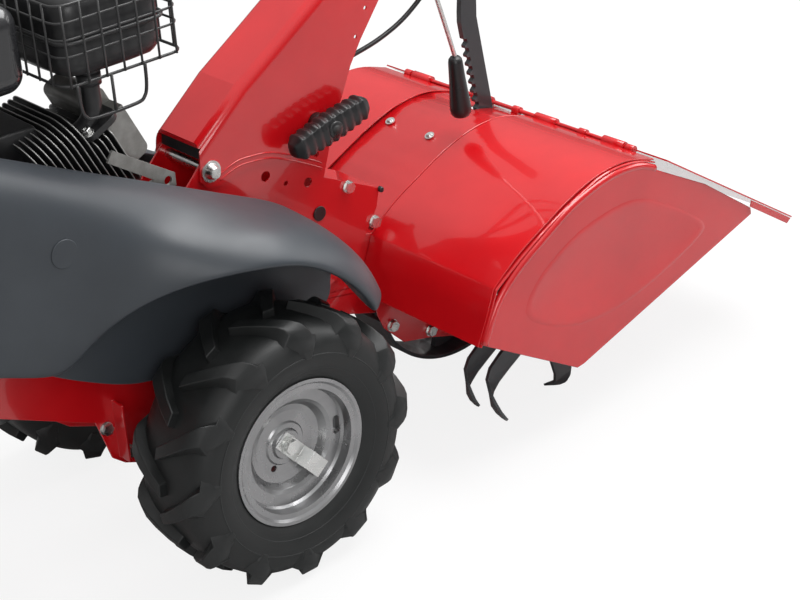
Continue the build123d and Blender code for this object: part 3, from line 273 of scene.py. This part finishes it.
def make_tyre(name, side):
    """A tyre with two rows of staggered lugs and three ribs on its outer sidewall."""
    centre = Vector((middle(name).x, AXLE.y, AXLE.z))
    points = []
    for k in range(TYRE_TURNS):
        points += [wheel_point(centre, side, a, r, 360 * k / TYRE_TURNS) for a, r in TREAD]
    faces = grid_faces(TYRE_TURNS, len(TREAD), wrap_rows=True, wrap_columns=True)
    for half in (1, -1):
        for k in range(LUGS):
            start = FIRST_LUG + 360 / LUGS * (k + (0.0 if half > 0 else 0.5))
            base = len(points)
            for across, lean, top, wide, foot in LUG_LINE:
                spread, skirt = math.degrees(wide / TYRE_R), math.degrees(foot / TYRE_R)
                root = min(carcass_radius(across), top) - 5
                if across > SHOULDER:
                    root = top - 3
                inner = across if across <= SHOULDER else across - 6
                for turn, radius, x in ((skirt, root, inner), (spread, top, across),
                                        (-spread, top, across), (-skirt, root, inner)):
                    points.append(wheel_point(centre, side, half * x, radius, start + lean + turn))
            faces += grid_faces(len(LUG_LINE), 4, start=base)
            last = base + 4 * (len(LUG_LINE) - 1)
            faces += [(base, base + 1, base + 2, base + 3), (last, last + 1, last + 2, last + 3)]
            faces += [(base + 4 * i, base + 4 * i + 3, base + 4 * i + 7, base + 4 * i + 4)
                      for i in range(len(LUG_LINE) - 1)]
    tyre = make_piece(name, points, faces, "wheels", "tyre_rubber")
    soften(tyre, 1.5, 3, 38)
    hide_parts(name)
    for index, (across, radius) in enumerate(SIDE_RIBS):
        ring_points = []
        for k in range(TYRE_TURNS):
            for j in range(6):
                a = across + 0.9 * math.cos(math.pi * j / 3)
                r = radius + 0.9 * math.sin(math.pi * j / 3)
                ring_points.append(wheel_point(centre, side, a, r, 360 * k / TYRE_TURNS))
        make_piece(f"{name}_rib_{index}", ring_points, grid_faces(TYRE_TURNS, 6, True, True), "wheels",
                   "tyre_rubber")


make_tyre("tyre_left", 1)
make_tyre("tyre_right", -1)

# ------------------------------------------------------------------ belt guard
GUARD = [  # sections from the front to the rear of the guard, each from its top to its lower edge
    [(-398, 500, 96), (-399, 499, 122), (-396, 492, 146), (-382, 440, 150), (-345, 380, 150)],
    [(-372, 566, 96), (-371, 562, 126), (-366, 540, 149), (-348, 460, 150), (-312, 366, 150)],
    [(-325, 594, 96), (-323, 588, 130), (-318, 556, 149), (-300, 460, 150), (-275, 350, 150)],
    [(-272, 580, 96), (-271, 573, 130), (-269, 536, 149), (-256, 440, 150), (-240, 334, 149)],
    [(-233, 561, 96), (-232, 554, 130), (-228, 512, 149), (-222, 430, 150), (-213, 332, 148)],
    [(-190, 539, 96), (-189, 531, 130), (-186, 494, 150), (-182, 430, 152), (-178, 362, 152)],
    [(-130, 509, 96), (-129, 500, 130), (-126, 466, 152), (-124, 434, 166), (-122, 391, 176)],
    [(-75, 482, 96), (-74, 473, 130), (-72, 446, 158), (-70, 432, 192), (-68, 406, 214)],
    [(-15, 452, 96), (-14, 445, 130), (-13, 434, 168), (-12, 427, 210), (-12, 404, 235)],
    [(40, 424, 96), (40, 422, 130), (40, 420, 170), (39, 414, 212), (32, 392, 238)],
    [(95, 398, 96), (96, 396, 130), (97, 392, 170), (92, 384, 214), (70, 368, 238)],
    [(133, 371, 96), (134, 369, 130), (133, 364, 170), (125, 357, 214), (97, 344, 238)],
    [(158, 338, 96), (159, 336, 130), (157, 332, 170), (148, 327, 214), (117, 319, 238)],
    [(169, 304, 96), (170, 303, 130), (168, 301, 170), (159, 299, 214), (129, 296, 238)],
]
WELL = [  # the wheel well behind each section: (rearward, height of its ceiling, height of its lower edge)
    (-345, 382, 380), (-312, 368, 366), (-276, 352, 350), (-244, 338, 326), (-214, 330, 305),
    (-182, 348, 286), (-124, 374, 255), (-70, 392, 248), (-14, 396, 248), (34, 386, 246),
    (80, 366, 243), (118, 344, 240), (146, 318, 242), (161, 294, 258),
]
FIRST_FENDER_SECTION = 6   # the right fender has only the part over the wheel


def moulding(name, sections, well, side, node):
    """A moulded skin lofted through its sections, turned in under the fender to make the wheel well."""
    rows = []
    for section, (y, ceiling, foot) in zip(sections, well):
        edge = section[-1]
        turned = (edge[0] - 3, edge[1] - 4, edge[2] - 10)
        rows.append([*section, (edge[0] - 1, edge[1] - 4, edge[2] - 3), turned, (y, ceiling, 124),
                     (y, ceiling - 8, 116), (y, min(foot + 14, ceiling - 10), 113), (y, foot, 113)])
    points = [at(y, z, side * x) for row in rows for y, z, x in row]
    skin = make_piece(name, points, grid_faces(len(rows), len(rows[0])), "root", "guard_plastic")
    add_modifier(skin, "SUBSURF", levels=3, render_levels=3)
    add_modifier(skin, "SOLIDIFY", thickness=2.4 * MM, offset=0.0)
    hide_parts(node)


moulding("belt_guard_skin", GUARD, WELL, 1, "belt_guard")
moulding("right_fender_skin", GUARD[FIRST_FENDER_SECTION:], WELL[FIRST_FENDER_SECTION:], -1, "right_fender")


# ------------------------------------------------------------------ outlines and tubes
def smooth(points, per=8, closed=False):
    """A smooth curve through the points (Catmull-Rom)."""
    points = [Vector(p) for p in points]
    count = len(points)
    out = []
    for i in range(count if closed else count - 1):
        a, b, c, d = (points[(i + k) % count] if closed else points[min(max(i + k, 0), count - 1)]
                      for k in (-1, 0, 1, 2))
        for step in range(per):
            t = step / per
            out.append(0.5 * ((2 * b) + (c - a) * t + (2 * a - 5 * b + 4 * c - d) * t * t
                              + (3 * b - a - 3 * c + d) * t ** 3))
    if not closed:
        out.append(points[-1])
    return out


def plate(name, outline, x_from, x_to, body, slot, edge=0.8):
    """A flat plate with a side-view outline between two X places."""
    count = len(outline)
    points = [at(y, z, x_from) for y, z in outline] + [at(y, z, x_to) for y, z in outline]
    faces = [tuple(range(count)), tuple(range(count, 2 * count))]
    faces += [(i, (i + 1) % count, count + (i + 1) % count, count + i) for i in range(count)]
    piece = make_piece(name, points, faces, body, slot)
    if edge:
        soften(piece, edge, 3, 30)
    return piece


def tube(name, path, radius, body, slot, sides=12, closed=False, taper=None):
    """A round tube along world points; taper gives each point's share of the radius."""
    count = len(path)
    points = []
    up = Vector((0.31, 0.17, 0.93))
    for i, place in enumerate(path):
        ahead = path[(i + 1) % count] if closed or i < count - 1 else place
        behind = path[i - 1] if closed or i else place
        along = (ahead - behind).normalized()
        across = along.cross(up).normalized()
        up = across.cross(along)
        share = taper[i] if taper else 1.0
        for k in range(sides):
            angle = 2 * math.pi * k / sides
            points.append(place + (across * math.cos(angle) + up * math.sin(angle)) * radius * share * MM)
    faces = grid_faces(count, sides, wrap_rows=closed, wrap_columns=True)
    if not closed:
        faces += [tuple(range(sides)), tuple(range((count - 1) * sides, count * sides))]
    return make_piece(name, points, faces, body, slot)


# ------------------------------------------------------------------ hood end plates
PLATE_TOP = [(277, 190), (302, 237), (339, 269), (383, 293), (430, 316), (481, 330), (520, 333), (556, 328),
             (583, 316)]
PLATE_REST = [(681, 262), (777, 194), (779, 184), (446, 94), (434, 93)]
DROP = [(344, 207), (362, 242), (406, 270), (451, 286), (515, 293), (562, 284), (611, 257), (651, 231),
        (677, 209), (672, 192), (600, 166), (524, 150), (470, 149), (425, 157), (380, 176)]
DROP_MIDDLE = (510, 215)   # the drop-shaped embossing shrinks towards this place
SIDES = ((1, "left"), (-1, "right"))


def shrunk(outline, wide, high):
    """An outline drawn in towards the middle of the drop."""
    my, mz = DROP_MIDDLE
    return [(my + (y - my) * wide, mz + (z - mz) * high) for y, z in outline]


for side, side_name in SIDES:
    outer = max(abs(corner[0]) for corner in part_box(f"hood_{side_name}_plate")) / MM
    top = [tuple(p) for p in smooth([(y, z, 0) for y, z in PLATE_TOP], 6)]
    outline = [(p[0], p[1]) for p in top] + PLATE_REST
    skin = plate(f"hood_{side_name}_panel", outline, side * (outer - 4.0), side * (outer - 1.2), "root",
                 "red_paint", 0.0)
    soften(skin, 1.2, 3, 50)
    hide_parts(f"hood_{side_name}_plate")
    drop = [(p.x, p.y) for p in smooth([(y, z, 0) for y, z in DROP], 5, closed=True)]
    inner = shrunk(drop, 0.965, 0.94)
    inmost = shrunk(drop, 0.93, 0.88)
    count = len(drop)
    points = [at(y, z, side * (outer - 1.3)) for y, z in drop]
    points += [at(y, z, side * (outer - 0.1)) for y, z in inner]
    points += [at(y, z, side * (outer - 1.0)) for y, z in inmost]
    faces = grid_faces(3, count, wrap_columns=True) + [tuple(range(2 * count, 3 * count))]
    make_piece(f"hood_{side_name}_embossing", points, faces, "root", "red_paint")
    bead = [at(p[0] - 1, p[1] + 1.5, side * (outer - 5.4)) for p in top]
    tube(f"hood_{side_name}_bead", bead, 5.2, "root", "red_paint", 16)

HOOD_TOP = [(270, 190), (299, 256), (318, 270), (344, 287), (386, 307), (430, 326), (478, 339.5),
            (532, 341.5), (584, 326.5)]


def hood_cover(name, x_from, x_to, lift):
    """An upper sheet of the hood, lapped over the one below."""
    line = [(p.x, p.y) for p in smooth([(y, z, 0) for y, z in HOOD_TOP[1:]], 5)]
    line = [HOOD_TOP[0]] + [(285, 222)] + line
    columns = 6
    points = []
    for i, (y, z) in enumerate(line):
        ahead, behind = line[min(i + 1, len(line) - 1)], line[max(i - 1, 0)]
        along = Vector((ahead[0] - behind[0], ahead[1] - behind[1])).normalized()
        for k in range(columns):
            x = x_from + (x_to - x_from) * k / (columns - 1)
            points.append(at(y - along.y * lift, z + along.x * lift, x))
    sheet = make_piece(name, points, grid_faces(len(line), columns), "root", "red_paint")
    add_modifier(sheet, "SOLIDIFY", thickness=lift * MM, offset=0.0)
    soften(sheet, 0.4, 2, 50)


hood_cover("hood_left_cover", 33, 252, 1.8)
hood_cover("hood_lap_strip", -134, -108, 1.8)
hood_cover("hood_right_cover", -252, -134, 1.4)

RIB_LINE = [at(p.x - 1.2, p.y + 2.2, 31) for p in smooth([(y, z, 0) for y, z in HOOD_TOP[1:]], 5)]
tube("hood_rib", RIB_LINE, 1.1, "root", "red_paint", 8)
FLAP_SIDE = max(abs(corner[0]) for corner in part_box("rear_flap")) / MM
FLAP_LIP = [(772, 208), (861, 149.5), (853, 144), (770, 199)]
for side, side_name in SIDES:
    plate(f"flap_{side_name}_lip", FLAP_LIP, side * (FLAP_SIDE - 1.8), side * (FLAP_SIDE - 0.4), "rear_flap",
          "red_paint", 0.3)
COLUMN_ARC = [(70, 415), (97, 423), (127, 421), (149, 416), (185, 399), (220, 379)]
for index, lift in enumerate((1.5, 8.5)):
    for side, side_name in SIDES:
        arc = [at(p.x, p.y + lift, side * 43.0) for p in smooth([(y, z, 0) for y, z in COLUMN_ARC], 6)]
        tube(f"column_{side_name}_ridge_{index}", arc, 1.0, "column", "red_paint", 8)
tube("bracket_stud", [at(311, 320, x) for x in (39, 44, 45)], 3.6, "root", "black_plastic", 18,
     taper=[1, 1, 0.7])

# ------------------------------------------------------------------ clamp knob
KNOB_TURN = math.radians(12)
KNOB = Vector((0, 216, 442))
KNOB_HALF = 61             # half the length of the knob's bar
KNOB_STEPS, KNOB_SIDES = 48, 16
knob_rows = []
for step in range(KNOB_STEPS + 1):
    along = -KNOB_HALF + 2 * KNOB_HALF * step / KNOB_STEPS
    end = max(0.0, 1 - (max(0.0, abs(along) - 47) / 14) ** 2) ** 0.5
    ripple = math.cos(along * 0.52)
    half_wide = (16.0 + 1.8 * math.cos(along / KNOB_HALF * 2.9) + 1.3 * ripple) * max(end, 0.15)
    half_deep = (13.0 + 0.9 * ripple) * max(end, 0.15)
    knob_rows.append((along, half_wide, half_deep))
points = []
for along, half_wide, half_deep in knob_rows:
    for k in range(KNOB_SIDES):
        angle = 2 * math.pi * k / KNOB_SIDES
        shape = (abs(math.cos(angle)) ** 4 + abs(math.sin(angle)) ** 4) ** -0.25
        across = half_wide * math.cos(angle) * shape
        out = half_deep * math.sin(angle) * shape
        y = KNOB.y + along * math.cos(KNOB_TURN) - across * math.sin(KNOB_TURN)
        z = KNOB.z + along * math.sin(KNOB_TURN) + across * math.cos(KNOB_TURN)
        points.append(at(y, z, 68 + out))
knob_ends = [tuple(range(KNOB_SIDES)), tuple(range(KNOB_STEPS * KNOB_SIDES, (KNOB_STEPS + 1) * KNOB_SIDES))]
knob = make_piece("clamp_knob_bar", points,
                  grid_faces(len(knob_rows), KNOB_SIDES, wrap_columns=True) + knob_ends, "clamp_knob",
                  "black_plastic")
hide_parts("column_knob")
soften(knob, 1.2, 2, 30)
tube("clamp_knob_stud", [at(KNOB.y, KNOB.z, x) for x in (20, 40, 60)], 5.0, "clamp_knob", "zinc", 20)
tube("clamp_knob_neck", [at(KNOB.y, KNOB.z, x) for x in (43.4, 50, 60)], 12, "clamp_knob",
     "black_plastic", 28)
tube("clamp_knob_collar", [at(KNOB.y, KNOB.z, x) for x in (74, 81.3, 82.3)], 10.5, "clamp_knob",
     "black_plastic", 28, taper=[1.0, 1.0, 0.9])
tube("clamp_knob_recess", [at(KNOB.y, KNOB.z, x) for x in (79, 82.6)], 6.2, "clamp_knob", "belt_rubber", 24)

# ------------------------------------------------------------------ tine blades
ROTOR = middle("tine_shaft")
BLADE_PATH = [  # blade and bent foot: (radius, turn after the shank in degrees, sideways bend, half width)
    (26, 0, 0, 17), (60, 0, 0, 17), (95, 0, 0, 16.5), (118, 0.5, 0.5, 16), (132, 2, 3, 15.5),
    (143, 4.5, 9, 14.5), (150.5, 7.5, 16, 13), (155, 10.5, 23, 11), (157, 13, 29, 8), (157.5, 14.5, 32, 4.5),
]
INNER_FLANGE, OUTER_FLANGE = 150, 188
BLADES = [  # (flange, bent outward or inward, turn of the shank)
    (flange, way, turn + half_turn) for flange, way, turn in (
        (INNER_FLANGE, 1, 210), (INNER_FLANGE, -1, 304), (OUTER_FLANGE, 1, 210), (OUTER_FLANGE, -1, 288))
    for half_turn in (0, 180)
]


def make_blades(side_name, side):
    points, faces = [], []
    for flange, way, shank in BLADES:
        outward = side * way
        reach = 0.6 if flange == INNER_FLANGE else 1.0
        curl = 1.0 if way > 0 else -0.3
        base = len(points)
        for i, (radius, after, bend, half) in enumerate(BLADE_PATH):
            turn = math.radians(shank + after * curl)
            radial = Vector((0, math.cos(turn), math.sin(turn)))
            tangent = Vector((0, -math.sin(turn), math.cos(turn)))
            bent = min(1.0, bend / 18)
            normal = (Vector((outward, 0, 0)) * (1 - 0.8 * bent) - radial * bent).normalized()
            wide = (tangent * (1 - 0.5 * bent) - Vector((outward, 0, 0)) * 0.75 * bent).normalized()
            thick = 5.5 - 0.25 * i
            centre = Vector((side * flange + outward * (3.5 + bend * reach), 0, 0)) + radial * radius
            for across, depth in ((-half, 0), (half * 0.75, 0), (half, thick * 0.6), (half * 0.75, thick),
                                  (-half, thick)):
                points.append(Vector((0, ROTOR.y, ROTOR.z)) + (centre + wide * across + normal * depth) * MM)
        count = len(BLADE_PATH)
        faces += grid_faces(count, 5, wrap_columns=True, start=base)
        faces += [tuple(range(base, base + 5)), tuple(range(base + 5 * (count - 1), base + 5 * count))]
    blades = make_piece(f"blades_{side_name}", points, faces, "rotor", "dark_steel")
    soften(blades, 0.7, 2, 40)
    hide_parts(f"tine_blades_{side_name}")


make_blades("left", 1)
make_blades("right", -1)

# ------------------------------------------------------------------ hanging lock lever and a black sheet of painted shade in the column
LOCK_X = middle("lock_lever").x / MM
LOCK_ROD = [(399, 634, 0), (410, 600, 0), (433, 531, 0), (459, 448, 0), (461, 430, 0)]
lever_rod = [at(p.x, p.y, LOCK_X) for p in smooth(LOCK_ROD, 6)]
rod = tube("lock_lever_rod", lever_rod, 3.0, "lock_lever", "zinc", 14)
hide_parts("lock_lever")
tube("lock_lever_eye", [at(398, 640, LOCK_X + x) for x in (-4, 0, 4)], 8.5, "lock_lever", "zinc", 24)
grip_line = [(449, 0.45), (446, 0.62), (441, 0.68), (420, 0.76), (400, 0.88), (385, 0.97), (377, 1.0),
             (371, 0.93), (367.5, 0.74), (366.3, 0.4)]
grip_path = [at(458.5 + (448 - z) * 0.085, z, LOCK_X) for z, share in grip_line]
tube("lock_lever_grip", grip_path, 14.0, "lock_lever", "black_plastic", 24, taper=[w for z, w in grip_line])
# a black sheet across the column's open lower end: painted shade standing in for the dark inside of the
# column
plate("column_lower_shade_sheet", [(50, 446), (53, 466), (76, 484), (112, 508), (118, 498), (84, 468), (78, 446)],
      -39, 39, "column", "black_plastic", 1.0)
PLUG, PLUG_R = (212, 322), 9.5
plug_outline = [(PLUG[0] + PLUG_R * math.cos(turn), PLUG[1] + PLUG_R * math.sin(turn))
                for turn in (k * math.pi / 12 for k in range(24))]
plate("bracket_plug", plug_outline, 39.9, 42.2, "root", "black_plastic", 1.0)

# ------------------------------------------------------------------ engine
CRANK = middle("crankshaft")
CYLINDER_LEAN = math.radians(25)
FIN_AXIS = Vector((0, math.cos(CYLINDER_LEAN), math.sin(CYLINDER_LEAN)))
FIN_UP = Vector((0, -math.sin(CYLINDER_LEAN), math.cos(CYLINDER_LEAN)))


def cylinder_point(along, up, x):
    return Vector((x * MM, CRANK.y, CRANK.z)) + (FIN_AXIS * along + FIN_UP * up) * MM


def rounded_corners(low, high, radii, steps=7):
    """A rectangle's outline with its own radius at each corner, anticlockwise from the lower right."""
    out = []
    corners = ((high[0], low[1], -90), (high[0], high[1], 0), (low[0], high[1], 90), (low[0], low[1], 180))
    for (cx, cy, start), radius in zip(corners, radii):
        mid = (cx - math.copysign(radius, cx - (low[0] + high[0]) / 2),
               cy - math.copysign(radius, cy - (low[1] + high[1]) / 2))
        for k in range(steps):
            angle = math.radians(start + 90 * k / (steps - 1))
            out.append((mid[0] + radius * math.cos(angle), mid[1] + radius * math.sin(angle)))
    return out


FINS = 13
FIN_FIRST, FIN_STEP = 52, 7.2   # from the crankshaft to the first fin, and from fin to fin
FIN_CUT = 116                   # fins past this distance are cut back where the exhaust leaves


def make_fins():
    """Black cooling fins with bright machined rims."""
    for k in range(FINS):
        along = FIN_FIRST + FIN_STEP * k
        full = along < FIN_CUT
        top = 72 - 1.4 * k if full else 22
        outline = rounded_corners((-50, -60), (80, top), (16, 34 if full else 10, 22, 16))
        count = len(outline)
        inner = [(x + (15 - x) * 0.035, up + (5 - up) * 0.035) for x, up in outline]
        rings = [(inner, along), (outline, along + 0.5), (outline, along + 1.7), (inner, along + 2.2)]
        points = [cylinder_point(a, up, x) for ring, a in rings for x, up in ring]
        faces = grid_faces(4, count, wrap_columns=True)
        faces += [tuple(range(count)), tuple(range(3 * count, 4 * count))]
        fin = make_piece(f"cylinder_fin_{k}", points, faces, "root", "engine_black")
        fin.data.materials.append(finishes["cast_alloy"])
        for polygon in fin.data.polygons[count:2 * count]:
            polygon.material_index = 1
        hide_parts("cylinder_block")
    core_outline = rounded_corners((-32, -46), (62, 22), [20] * 4)
    core = [cylinder_point(a, up, x) for a in (46, 142) for x, up in core_outline]
    make_piece("cylinder_core", core, grid_faces(2, 28, wrap_columns=True), "root", "engine_black")


make_fins()


def rounded_block(name, low, high, bulge, slot):
    """A pressed or moulded shell on the engine: a box with round edges whose faces crown outwards."""
    centre = (low + high) / 2
    half = (high - low) / 2
    points, rows, columns = [], 24, 40
    for i in range(rows + 1):
        latitude = math.pi * (i / rows - 0.5)
        for j in range(columns):
            longitude = 2 * math.pi * j / columns
            ray = Vector((math.cos(latitude) * math.cos(longitude), math.cos(latitude) * math.sin(longitude),
                          math.sin(latitude)))
            reach = sum(abs(c) ** bulge for c in ray) ** (-1 / bulge)
            points.append(centre + Vector([ray[k] * reach * half[k] for k in range(3)]))
    faces = grid_faces(rows + 1, columns, wrap_columns=True)
    piece = make_piece(name, points, faces, "root", slot)
    add_modifier(piece, "WELD", merge_threshold=0.2 * MM)
    return piece


muffler_low, muffler_high = (Vector(corner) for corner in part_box("muffler"))
muffler = rounded_block("muffler_shell", muffler_low, muffler_high, 7.0, "engine_black")
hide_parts("muffler")
seam_z = muffler_low.z + 0.044
seam = rounded_corners((muffler_low.x / MM - 1.5, (muffler_low.y - AXLE.y) / MM - 1.5),
                       (muffler_high.x / MM + 1.5, (muffler_high.y - AXLE.y) / MM + 1.5), [19] * 4)
tube("muffler_seam", [Vector((x * MM, AXLE.y + y * MM, seam_z)) for x, y in seam], 2.4, "root",
     "engine_black", 8, closed=True)

guard_low, guard_high = (Vector(corner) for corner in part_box("muffler_guard"))
GX = (guard_low.x / MM + 2.4, guard_high.x / MM - 2.4)
GY = ((guard_low.y - AXLE.y) / MM + 2.4, (guard_high.y - AXLE.y) / MM - 2.4)
WIRE = 1.35
HOOPS = (612, 643, 661, 679, 697)          # heights of the cage's hoops
STAY_HEIGHTS = (611, 640, 670, 698)        # points along an upright stay
for index, z in enumerate(HOOPS):
    hoop = [at(y, z, x) for x, y in rounded_corners((GX[0], GY[0]), (GX[1], GY[1]), [16] * 4)]
    thicker = 1.25 if z in (HOOPS[0], HOOPS[-1]) else 1.0
    wire = tube(f"guard_hoop_{index}", hoop, WIRE * thicker, "root", "engine_black", 8, closed=True)
    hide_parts("muffler_guard")
for index, y in enumerate(range(-144, -11, 22)):
    tube(f"guard_stay_{index}", [at(y, z, GX[1] + 1.6) for z in STAY_HEIGHTS], WIRE, "root",
         "engine_black", 8)
for index, x in enumerate(range(-58, 87, 24)):
    for y, name in ((GY[0] - 1.6, "front"), (GY[1] + 1.6, "rear")):
        tube(f"guard_{name}_stay_{index}", [at(y, z, x) for z in STAY_HEIGHTS], WIRE, "root",
             "engine_black", 8)
loop = smooth([(-137, 612, 0), (-136, 590, 0), (-132, 577, 0), (-120, 572, 0), (-70, 572, 0), (-58, 577, 0),
               (-54, 590, 0), (-53, 612, 0)], 5)
tube("guard_lower_loop", [at(p.x, p.y, GX[1] + 1.0) for p in loop], 1.9, "root", "engine_black", 10)
tube("guard_lower_stay", [at(-95, z, GX[1] + 1.0) for z in (572, 590, 612)], 1.7, "root", "engine_black", 10)

pipe_path = smooth([(60, -94, 612), (60, -94, 585), (60, -95, 562), (57, -102, 546), (50, -116, 534)], 6)
pipe = tube("exhaust_elbow", [at(p.y, p.z, p.x) for p in pipe_path], 10.5, "root", "engine_black", 24)
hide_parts("exhaust_pipe")
tube("exhaust_collar", [at(-94, z, 60) for z in (590, 596, 602)], 13.5, "root", "engine_black", 28)
flange = [cylinder_point(a, up, x) for up in (23, 31)
          for x, a in rounded_corners((34, 112), (78, 160), [14] * 4)]
plate_piece = make_piece("exhaust_flange", flange, grid_faces(2, 28, wrap_columns=True)
                         + [tuple(range(28)), tuple(range(28, 56))], "root", "engine_black")
soften(plate_piece, 1.5, 3)


FLATS_TO_CORNERS = 1.1547  # a hexagon's width over its corners for each unit over its flats


def hex_head(name, place, out, across, height):
    """A flanged zinc hex head with a dimple, standing on a place of the engine and facing out."""
    out = Vector(out).normalized()
    side = out.orthogonal().normalized()
    other = out.cross(side)
    rings = [  # (size, height, sides) from the flange up over the head and down into its dimple
        (1.28, 0.0, 24), (1.28, 0.16, 24), (1.0, 0.24, 6), (1.0, 0.86, 6), (0.84, 1.0, 6), (0.4, 1.0, 6),
        (0.3, 0.8, 6)]
    points = []
    for scale, level, sides in rings:
        for k in range(24):
            step = k if sides == 24 else k // 4 * 4
            angle = 2 * math.pi * step / 24
            offset = (k - step) / 4
            ahead = 2 * math.pi * (step + (0 if sides == 24 else 4)) / 24
            ahead_point = Vector((math.cos(ahead), math.sin(ahead)))
            corner = Vector((math.cos(angle), math.sin(angle))).lerp(ahead_point, offset)
            reach = across / 2 * FLATS_TO_CORNERS * scale
            points.append(place + ((side * corner.x + other * corner.y) * reach + out * height * level) * MM)
    faces = grid_faces(len(rings), 24, wrap_columns=True) + [tuple(range(6 * 24, 7 * 24))]
    head = make_piece(name, points, faces, "root", "zinc")
    soften(head, 0.35, 2, 25)


hex_head("exhaust_bolt_left", cylinder_point(120, 31, 70), FIN_UP, 10, 7)
hex_head("exhaust_bolt_right", cylinder_point(150, 31, 44), FIN_UP, 10, 7)
for index, (along, up) in enumerate(((48, 74), (60, 76))):
    hex_head(f"cowl_bolt_{index}", cylinder_point(along, up, 20 - 30 * index), FIN_UP, 9, 6)

# ------------------------------------------------------------------ edges of the CAD's own pieces
EDGES = {  # width of the rounding on each piece's sharp edges
    "column_shell": 0.8, "hood_inner_plates": 0.7, "column_bracket": 0.9, "chassis_tunnel": 1.0,
    "hood_left_skin": 0.7, "hood_right_skin": 0.7, "rear_flap": 0.6, "depth_bar": 0.9, "skid": 1.0,
    "crankcase": 5.0, "rocker_cover": 1.5, "fuel_tank": 1.0, "air_filter": 1.0, "recoil_housing": 1.0,
    "starter_grip": 0.5, "tensioner_arm": 0.5, "tine_flanges": 0.8, "tine_shaft": 0.8, "handlebar": 0.8,
    "handlebar_grips": 1.5, "drive_lever": 1.2, "reverse_lever": 1.2, "body_bolts": 0.5,
    "axle_end_bolts": 0.6, "hub_lock_strips": 0.4, "pivot_bolt": 0.7, "guard_cap": 0.4,
    "chain_case_left": 1.5, "chain_case_right": 1.5, "drive_belt": 1.0, "driven_pulley": 0.5,
    "engine_pulley": 0.5, "crankshaft": 0.5, "input_shaft": 0.5, "wheel_axle": 0.6, "flap_hinge_rod": 0.4,
}
for node, width in EDGES.items():
    piece = frame["nodes"][node]
    add_modifier(piece, "WELD", merge_threshold=0.01 * MM)
    soften(piece, width, 2, 32)


# ------------------------------------------------------------------ camera, light and floor
def area_light(name, place, target, size, power, color=(1, 1, 1)):
    data = bpy.data.lights.new(name, "AREA")
    data.shape = "RECTANGLE"
    data.size, data.size_y = size
    data.energy = power
    data.color = color
    light = bpy.data.objects.new(name, data)
    light.location = place
    light.rotation_euler = (Vector(target) - Vector(place)).to_track_quat("-Z", "Y").to_euler()
    bpy.context.scene.collection.objects.link(light)


camera_data = bpy.data.cameras.new("camera")
camera = bpy.data.objects.new("camera", camera_data)
bpy.context.scene.collection.objects.link(camera)
camera_data.lens = 83.81
camera_data.sensor_width = 36.0
camera.matrix_world = Matrix((
    (0.67321, -0.31267, 0.67009, 1.65879),
    (0.73725, 0.35375, -0.57561, AXLE.y - 1.05807),
    (-0.05707, 0.88153, 0.46866, 1.28616),
    (0, 0, 0, 1),
))
bpy.context.scene.camera = camera


def floor_material():
    """A pale floor that reads as white paper but keeps a faint contact shadow."""
    material, tree, shader = new_material("studio_floor")
    clouds = noise(tree, 3.0)
    tree.links.new(mix(tree, clouds.outputs["Fac"], (0.44, 0.44, 0.44), (0.48, 0.48, 0.48)),
                   shader.inputs["Base Color"])
    shader.inputs["Roughness"].default_value = 0.9
    shader.inputs["Specular IOR Level"].default_value = 0.1
    glow = tree.nodes.new("ShaderNodeEmission")
    glow.inputs["Strength"].default_value = 1.18
    blend = tree.nodes.new("ShaderNodeMixShader")
    path = tree.nodes.new("ShaderNodeLightPath")
    tree.links.new(remap(tree, path.outputs["Is Camera Ray"], 0.0, 0.72, 0.0, 1.0), blend.inputs["Fac"])
    tree.links.new(shader.outputs["BSDF"], blend.inputs[1])
    tree.links.new(glow.outputs["Emission"], blend.inputs[2])
    tree.links.new(blend.outputs["Shader"], tree.nodes["Material Output"].inputs["Surface"])
    return material


floor_mesh = bpy.data.meshes.new("floor")
FLOOR_HALF = 9.0           # half the side of the floor, in metres
floor_corners = [(x * FLOOR_HALF, y * FLOOR_HALF, GROUND) for x, y in ((-1, -1), (1, -1), (1, 1), (-1, 1))]
floor_mesh.from_pydata(floor_corners, [], [(0, 1, 2, 3)])
floor = bpy.data.objects.new("floor", floor_mesh)
bpy.context.scene.collection.objects.link(floor)
floor_mesh.materials.append(floor_material())


def studio_world():
    """A white room, bright overhead and dimmer towards the floor."""
    world = bpy.data.worlds.new("studio")
    world.use_nodes = True
    tree = world.node_tree
    place = tree.nodes.new("ShaderNodeTexCoord")
    split = tree.nodes.new("ShaderNodeSeparateXYZ")
    tree.links.new(place.outputs["Generated"], split.inputs["Vector"])
    height = remap(tree, split.outputs["Z"], 0.10, 0.80, 0.0, 0.9)
    path = tree.nodes.new("ShaderNodeLightPath")
    seen = tree.nodes.new("ShaderNodeMath")
    seen.operation = "MAXIMUM"
    tree.links.new(height, seen.inputs[0])
    tree.links.new(path.outputs["Is Camera Ray"], seen.inputs[1])
    tree.links.new(seen.outputs["Value"], tree.nodes["Background"].inputs["Strength"])
    tree.nodes["Background"].inputs["Color"].default_value = (1, 1, 1, 1)
    return world


bpy.context.scene.world = studio_world()
centre = at(200, 300)
area_light("top_softbox", (0.2, 0.9, 2.4), centre, (2.2, 1.6), 74)
area_light("front_softbox", (2.6, -1.6, 1.5), centre, (1.2, 1.6), 22)
area_light("rear_softbox", (0.9, 2.6, 1.4), centre, (1.6, 1.0), 18)
bpy.context.scene.view_settings.view_transform = "Standard"
